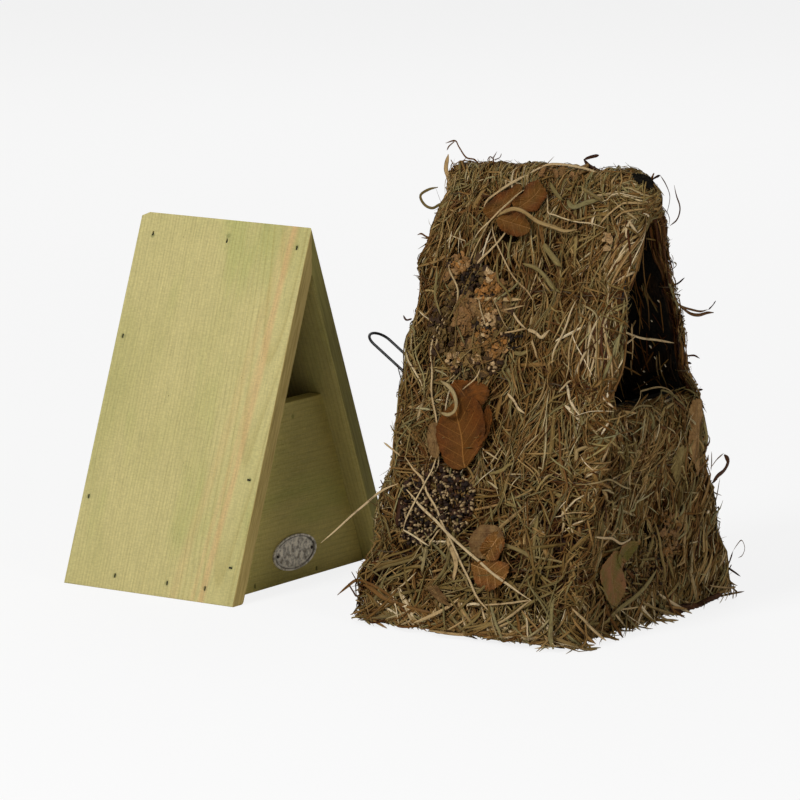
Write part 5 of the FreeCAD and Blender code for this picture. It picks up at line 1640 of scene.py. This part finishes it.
def repeated(faces, count, size):
    """The faces of one shape of size points, for count shapes."""
    return (faces[None] + (np.arange(count) * size)[:, None, None]).reshape(-1, 3)


def lump_piece(name, rng, wall, t, v, lift, sizes, material, roughness, taper=0.0, lean=0.5, tone=None):
    """Rounded lumps on a wall. sizes are half lengths along, across and out of each lump."""
    count = len(t)
    size = len(LUMP_POINTS)
    place, axes = seated(rng, wall, t, v, lift, lean)
    shape = LUMP_POINTS[None] * (1 + roughness * rng.normal(0, 1, (count, size))[..., None])
    narrow = 1 - taper * (shape[..., 2:3] * 0.5 + 0.5)
    shape = np.concatenate([shape[..., :2] * narrow, shape[..., 2:]], -1) * sizes[:, None, :]
    tones = rng.uniform(0, 1, count) if tone is None else tone
    values = {"tone": np.repeat(tones, size), "height": np.tile(LUMP_POINTS[:, 2], count)}
    piece = new_piece(name, placed(shape, place, axes), repeated(LUMP_FACES, count, size), material,
                      attributes=values, smooth=True)
    return piece


FLAKE_CORNERS = 9


def flake_faces():
    """A flake's faces, round its middle, its inner and outer rim, and the middle and rim of its underside."""
    faces = []
    for k in range(FLAKE_CORNERS):
        a, b = 1 + k, 1 + (k + 1) % FLAKE_CORNERS
        c, d = a + FLAKE_CORNERS, b + FLAKE_CORNERS
        e, g = c + FLAKE_CORNERS + 1, d + FLAKE_CORNERS + 1
        faces += [(0, a, b), (a, c, d), (a, d, b), (c, e, g), (c, g, d), (1 + 2 * FLAKE_CORNERS, g, e)]
    return np.array(faces)


def flake_piece(name, rng, wall, t, v, lift, radius, material, tone, lean=0.35):
    """Thin broken plates of bark with ragged outlines."""
    count = len(t)
    place, axes = seated(rng, wall, t, v, lift, lean)
    angle = np.linspace(0, 2 * math.pi, FLAKE_CORNERS, endpoint=False)[None]
    angle = angle + rng.normal(0, 0.14, (count, FLAKE_CORNERS))
    reach = radius[:, None] * rng.uniform(0.6, 1.15, (count, FLAKE_CORNERS))
    stretch = rng.uniform(0.45, 0.95, count)[:, None]
    x = np.cos(angle) * reach
    y = np.sin(angle) * reach * stretch
    sag = 0.10 * x * x / radius[:, None] * rng.normal(0, 1.0, count)[:, None]
    rim = np.stack([x, y, sag + rng.normal(0, 0.15, (count, FLAKE_CORNERS))], -1)
    inner = rim * np.array([0.5, 0.5, 0.3]) + np.array([0, 0, 0.25])
    middle = np.zeros((count, 1, 3)) + np.array([0, 0, 0.35])
    thick = rng.uniform(0.5, 1.3, count)[:, None, None] * np.array([0, 0, 1.0])
    shape = np.concatenate([middle, inner, rim, middle - thick, rim * np.array([0.92, 0.92, 1]) - thick], 1)
    size = shape.shape[1]
    values = {"tone": np.repeat(tone, size), "height": np.zeros(count * size)}
    piece = new_piece(name, placed(shape, place, axes), repeated(flake_faces(), count, size), material,
                      attributes=values)
    return piece


def crumb_material(name, *stops, tip=None):
    """Bits of bark or seed, each with its own tone. tip is a colour for the outer end."""
    s = Shader(name, roughness=0.7, specular=0.25)
    p = s.place()
    grain = s.noise(p, 900.0, 4.0, 0.65)
    base = s.ramp(s.attribute("tone"), *stops)
    base = s.mix(0.8, base, s.ramp(grain, (0.3, 0.3), (0.7, 1.6)), "MULTIPLY")
    base = s.over(base, srgb(54, 36, 16), s.rising(s.noise(p, 330.0, 4.0, 0.6), 0.53, 0.69), 0.5)
    if tip:
        base = s.over(base, tip, s.rising(s.attribute("height"), 0.1, 0.9), 0.7)
    s.colour(base)
    s.bump(grain, 0.0004, 0.9)
    return s.material


def inside(outline, t, v):
    """Which points lie in an outline."""
    outline = np.asarray(outline, float)
    t0, v0 = outline[:, 0][:, None], outline[:, 1][:, None]
    t1, v1 = np.roll(t0, -1, 0), np.roll(v0, -1, 0)
    crosses = (v0 > v[None]) != (v1 > v[None])
    with np.errstate(divide="ignore", invalid="ignore"):
        at = (t1 - t0) * (v[None] - v0) / (v1 - v0) + t0
    return (crosses & (t[None] < at)).sum(0) % 2 == 1


def spots_in(rng, outline, count):
    outline = np.asarray(outline, float)
    low, high = outline.min(0), outline.max(0)
    t = rng.uniform(low[0], high[0], count * 4)
    v = rng.uniform(low[1], high[1], count * 4)
    keep = inside(outline, t, v)
    return t[keep][:count], v[keep][:count]


# Outlines of the bark and of the seed heads on the left wall
BARK_AREA = ((-66, 262), (-47, 268), (-33, 262), (-17, 248), (-3, 232), (-1, 210), (-5, 188), (-14, 181),
             (-35, 180), (-50, 185), (-54, 212), (-62, 233))
SEED_AREA = ((-66, 104), (-60, 113), (-48, 117), (-32, 117), (-20, 111), (-10, 103), (-8, 88), (-13, 73),
             (-33, 71), (-47, 59), (-62, 62), (-69, 78), (-69, 95))

# Patches in the bark: middle, reach, number of bits, and their size and tone ranges
BARK_PATCHES = (
    ((-54, 258), (9, 9), 44, (1.0, 3.0), (0.60, 0.98)),
    ((-44, 252), (6, 12), 46, (0.8, 2.2), (0.00, 0.14)),
    ((-14, 243), (8, 10), 60, (0.9, 2.6), (0.20, 0.74)),
    ((-24, 247), (7, 7), 50, (1.0, 2.6), (0.60, 0.86)),
    ((-28, 253), (5, 4), 12, (1.4, 3.0), (0.88, 1.00)),
    ((-30, 241), (6, 5), 26, (1.0, 3.0), (0.78, 0.86)),
    ((-25, 232), (13, 6), 56, (0.9, 2.8), (0.44, 0.96)),
    ((-41, 224), (10, 14), 56, (2.2, 5.2), (0.50, 0.66)),
    ((-30, 213), (15, 8), 48, (0.7, 1.9), (0.00, 0.16)),
    ((-24, 238), (9, 3), 18, (0.6, 1.6), (0.00, 0.14)),
    ((-24, 223), (7, 5), 32, (1.0, 2.8), (0.86, 1.00)),
    ((-20, 214), (12, 9), 110, (0.7, 2.2), (0.05, 0.98)),
    ((-12, 205), (9, 9), 56, (0.9, 2.8), (0.60, 0.88)),
    ((-34, 204), (12, 12), 70, (0.9, 3.0), (0.10, 0.74)),
    ((-45, 191), (8, 5), 24, (1.0, 2.8), (0.84, 1.00)),
    ((-34, 196), (9, 9), 34, (1.4, 3.6), (0.40, 0.56)),
    ((-27, 195), (4, 4), 14, (1.0, 2.6), (0.88, 1.00)),
    ((-12, 190), (4, 4), 9, (0.9, 2.0), (0.90, 1.00)),
    ((-62, 215), (8, 22), 90, (0.8, 2.8), (0.10, 0.40)),
    ((2, 209), (7, 7), 26, (0.8, 2.0), (0.00, 0.06)),
)

# Outlines of the crumbs and of the larger chips of bark on the front sill
CRUMB_AREA = ((-36, 53), (-14, 56), (4, 66), (14, 78), (36, 72), (36, 50), (22, 40), (12, 20), (-14, 17),
              (-33, 32))
FRONT_CHIP_AREA = ((14, 78), (30, 76), (36, 60), (30, 44), (18, 44), (10, 60))


def bit_sizes(rng, count, size, form):
    """Half lengths of small lumps: an overall size for each, and a share of it along each axis."""
    return rng.uniform(*size, count)[:, None] * rng.uniform(*form, (count, 3))


def lay_bark_patches(rng, bark):
    """The patches' bits: the larger ones as flakes and the others as nodules."""
    bits = []
    for (t, v), (reach_t, reach_v), count, size, tone in BARK_PATCHES:
        turn = rng.uniform(0, 2 * math.pi, count)
        reach = np.sqrt(rng.uniform(0, 1, count))
        bits.append(np.stack([t + reach_t * reach * np.cos(turn), v + reach_v * reach * np.sin(turn),
                              rng.uniform(*size, count), rng.uniform(*tone, count)]))
    t, v, size, tone = np.concatenate(bits, 1)
    lift = rng.uniform(4.0, 6.8, len(t))
    flat = size > rng.uniform(0.9, 2.4, len(t))
    flakes = flake_piece("bark_chips", rng, "left", t[flat], v[flat], lift[flat], size[flat] * 1.25, bark,
                         tone[flat], 0.4)
    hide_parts("bark_flakes")
    sizes = size[~flat, None] * rng.uniform(0.4, 0.95, (len(t[~flat]), 3))
    lump_piece("bark_nodules", rng, "left", t[~flat], v[~flat], lift[~flat], sizes, bark, 0.32,
               tone=tone[~flat])


def lay_bark(rng):
    bark = crumb_material("bark", (0.0, srgb(22, 13, 5)), (0.2, srgb(66, 42, 18)), (0.42, srgb(110, 86, 40)),
                          (0.58, srgb(130, 94, 54)), (0.72, srgb(120, 82, 32)), (0.82, srgb(160, 106, 46)),
                          (0.9, srgb(152, 120, 78)), (1.0, srgb(200, 168, 122)))
    t, v = spots_in(rng, BARK_AREA, 420)
    sizes = bit_sizes(rng, len(t), (0.9, 2.4), (0.5, 1.2))
    lump_piece("bark_bed", rng, "left", t, v, rng.uniform(2.0, 4.2, len(t)), sizes, bark, 0.3,
               tone=rng.uniform(0.05, 0.4, len(t)))
    t, v = spots_in(rng, BARK_AREA, 170)
    flake_piece("bark_crust", rng, "left", t, v, rng.uniform(3.2, 4.8, len(t)), rng.uniform(2.4, 5.4, len(t)),
                bark, rng.uniform(0.12, 0.62, len(t)), 0.4)
    lay_bark_patches(rng, bark)
    over = lay_tufts(rng, "left", 13, 2, (-64, -2), (182, 264), 0.0, 40.0, (14, 46), (0.6, 1.9), (6.0, 8.0),
                     tone=(0.3, 1.0), shade=(0.6, 1.2))
    blade_piece("straws_over_bark", over)
    t, v = spots_in(rng, CRUMB_AREA, 230)
    sizes = bit_sizes(rng, len(t), (0.5, 1.5), (0.5, 1.1))
    lump_piece("front_crumbs", rng, "front", t, v, rng.uniform(2.0, 5.0, len(t)), sizes, bark, 0.25,
               tone=0.75 * rng.beta(1.2, 1.5, len(t)))
    t, v = spots_in(rng, FRONT_CHIP_AREA, 60)
    flake_piece("front_chips", rng, "front", t, v, rng.uniform(2.5, 5.5, len(t)),
                rng.uniform(2.0, 4.5, len(t)), bark, rng.uniform(0.45, 0.76, len(t)))
    t = rng.uniform(-2, 36, 14)
    flake_piece("ridge_flakes", rng, "left", t, 331 + rng.uniform(-4, 5, 14), rng.uniform(2.5, 5.0, 14),
                rng.uniform(2.5, 6.0, 14), bark, rng.uniform(0.5, 0.7, 14), 0.7)
    t = rng.uniform(58, 69, 9)
    flake_piece("knot_chips", rng, "left", t, 285 + rng.uniform(-5, 5, 9), rng.uniform(5, 7, 9),
                rng.uniform(2, 4, 9), bark, rng.uniform(0.88, 0.94, 9))


# A gap between the seed capsules
SEED_GAP = ((-30, 108), (-18, 108), (-12, 99), (-20, 94), (-30, 99))


def lay_seed_heads(rng):
    dark = crumb_material("seed_bed", (0.0, srgb(18, 10, 5)), (0.6, srgb(48, 28, 14)),
                          (1.0, srgb(78, 48, 26)))
    t, v = spots_in(rng, SEED_AREA, 420)
    sizes = bit_sizes(rng, len(t), (0.9, 2.2), (0.5, 1.2))
    bed = lump_piece("seed_bed", rng, "left", t, v, rng.uniform(2.5, 5.2, len(t)), sizes, dark,
                     0.3)
    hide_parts("seed_heads")
    pale = crumb_material("seed_capsules", (0.0, srgb(82, 58, 32)), (0.4, srgb(122, 96, 60)),
                          (1.0, srgb(168, 142, 100)), tip=srgb(184, 158, 116))
    t, v = spots_in(rng, SEED_AREA, 190)
    away = ~inside(SEED_GAP, t, v)
    t, v = t[away], v[away]
    sizes = [rng.uniform(low, high, len(t)) for low, high in ((0.8, 1.5), (0.8, 1.3), (1.5, 2.4))]
    lump_piece("seed_capsules", rng, "left", t, v, rng.uniform(4.8, 6.4, len(t)), np.stack(sizes, 1), pale,
               0.08, 0.35, 0.45)


def felt_material():
    s = Shader("lining_felt", roughness=0.95, specular=0.1)
    fuzz = s.noise(s.place(), 700.0, 4.0, 0.7)
    s.colour(s.mix(s.rising(fuzz, 0.35, 0.7), srgb(16, 14, 11), srgb(36, 31, 23)))
    s.bump(fuzz, 0.0006, 1.0)
    return s.material


# Corners of the lining that show between the straws: name, wall, outline and lift
FELT_CORNERS = (
    ("felt_corner_front", "front", ((-9, 315), (-4, 317), (1, 315), (3, 311), (-1, 309), (-7, 311)), 0.5),
    ("felt_corner_rear", "left", ((-76, 322), (-71, 326), (-67, 320), (-70, 308), (-75, 306)), 1.5),
)


def lay_linings():
    felt = felt_material()
    for node in ("lining_left", "lining_right", "lining_back", "lining_front"):
        give(node, felt)
    for name, wall, outline, lift in FELT_CORNERS:
        leaf(name, wall, outline, outline[0], outline[3], felt, "lining_felt", lift, 0.8, 0.8, 0.2, 3.0, 0.4,
             thick=1.2)


def tube(name, path, radius, material, sides=6):
    """A wire along a path of points."""
    path = np.asarray(path, float)
    tangent = np.gradient(path, axis=0)
    tangent /= np.linalg.norm(tangent, axis=1, keepdims=True)
    side = np.cross(tangent, np.array([0.02, 0.01, 1.0]))
    side /= np.linalg.norm(side, axis=1, keepdims=True)
    up = np.cross(side, tangent)
    angle = np.linspace(0, 2 * math.pi, sides, endpoint=False)
    ring = np.cos(angle)[None, :, None] * side[:, None] + np.sin(angle)[None, :, None] * up[:, None]
    points = (path[:, None] + radius * ring).reshape(-1, 3)
    faces = []
    for k in range(len(path) - 1):
        for m in range(sides):
            n = (m + 1) % sides
            faces.append((k * sides + m, k * sides + n, (k + 1) * sides + n, (k + 1) * sides + m))
    faces.append(tuple(range(sides))[::-1])
    faces.append(tuple((len(path) - 1) * sides + m for m in range(sides)))
    return new_piece(name, points, faces, material, smooth=True)


def binding_path(index, row):
    """Once round the cover at a height, wavering a little; above the sill it ends in a hook at both edges."""
    paths = []
    for wall in ("front", "right", "back", "left", "front"):
        if wall == "front" and row > SILL:
            continue
        half = WALLS[wall][1](row)
        low, high = -half, half
        if wall == "front":
            low, high = (0, half) if not paths else (-half, 0)
        t = np.linspace(low + 4, high - 4, 60)
        wave = 1.0 * np.sin(t * 0.16 + index) + 0.5 * np.sin(t * 0.37 + 2 * index)
        v = binding_rows(wall)[index] + wave
        place, _ = on_wall(wall, t, v, 2.6 + 0.5 * np.sin(t * 0.3 + index), fold=wall == "front")
        paths.append(place)
    path = np.concatenate(paths)
    if row > SILL:
        turn = np.linspace(0, 4.2, 26)
        for side in (1, -1):
            centre = np.array([COVER_X + side * (half_width(row) - 6), COVER_Y - half_depth(row) + 4.5, row])
            hook = centre + 5.4 * np.stack([side * np.cos(turn), -np.sin(turn), 0 * turn], 1)
            path = np.concatenate([hook[::-1], path] if side > 0 else [path, hook])
    return path


def lay_bindings():
    wire = plain_metal("binding_wire", srgb(92, 70, 32), srgb(54, 38, 16), 0.5, 0.1)
    for index, row in enumerate(BINDING_ROWS):
        piece = tube(f"binding_wire_row_{index + 1}", binding_path(index, row), 0.45, wire)
        if index == 0:
            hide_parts("binding_wires")


def draw_in(node):
    """A copy of a CAD node that is drawn in with the slumped hay, and takes its place."""
    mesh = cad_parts[node].data
    points = np.array([vertex.co[:] for vertex in mesh.vertices]) / MM - (COVER_X, COVER_Y, 0)
    faces = [tuple(polygon.vertices) for polygon in mesh.polygons]
    piece = new_piece(node + "_drawn_in", settle(points) + (COVER_X, COVER_Y, 0), faces, mesh.materials[0])
    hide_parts(node)


def dress_wires():
    black = plain_metal("black_wire", srgb(34, 35, 36), srgb(20, 20, 20), 0.42, 0.2)
    for node in ("front_frame_wire", "rear_frame_wire", "ridge_rail", "left_base_rail", "right_base_rail",
                 "left_middle_rail", "right_middle_rail", "sill_wire", "rear_cross_wire", "hanger_staple",
                 "hanging_loop"):
        give(node, black)
    draw_in("rear_frame_wire")


hay_random = np.random.default_rng(20)
lay_cores()
lay_hay(hay_random)
lay_crown(hay_random)
lay_sheaves(hay_random)
lay_fringe(hay_random)
lay_edges(hay_random)
lay_single_straws()
lay_leaves()
lay_bark(hay_random)
lay_seed_heads(hay_random)
lay_linings()
lay_bindings()
dress_wires()
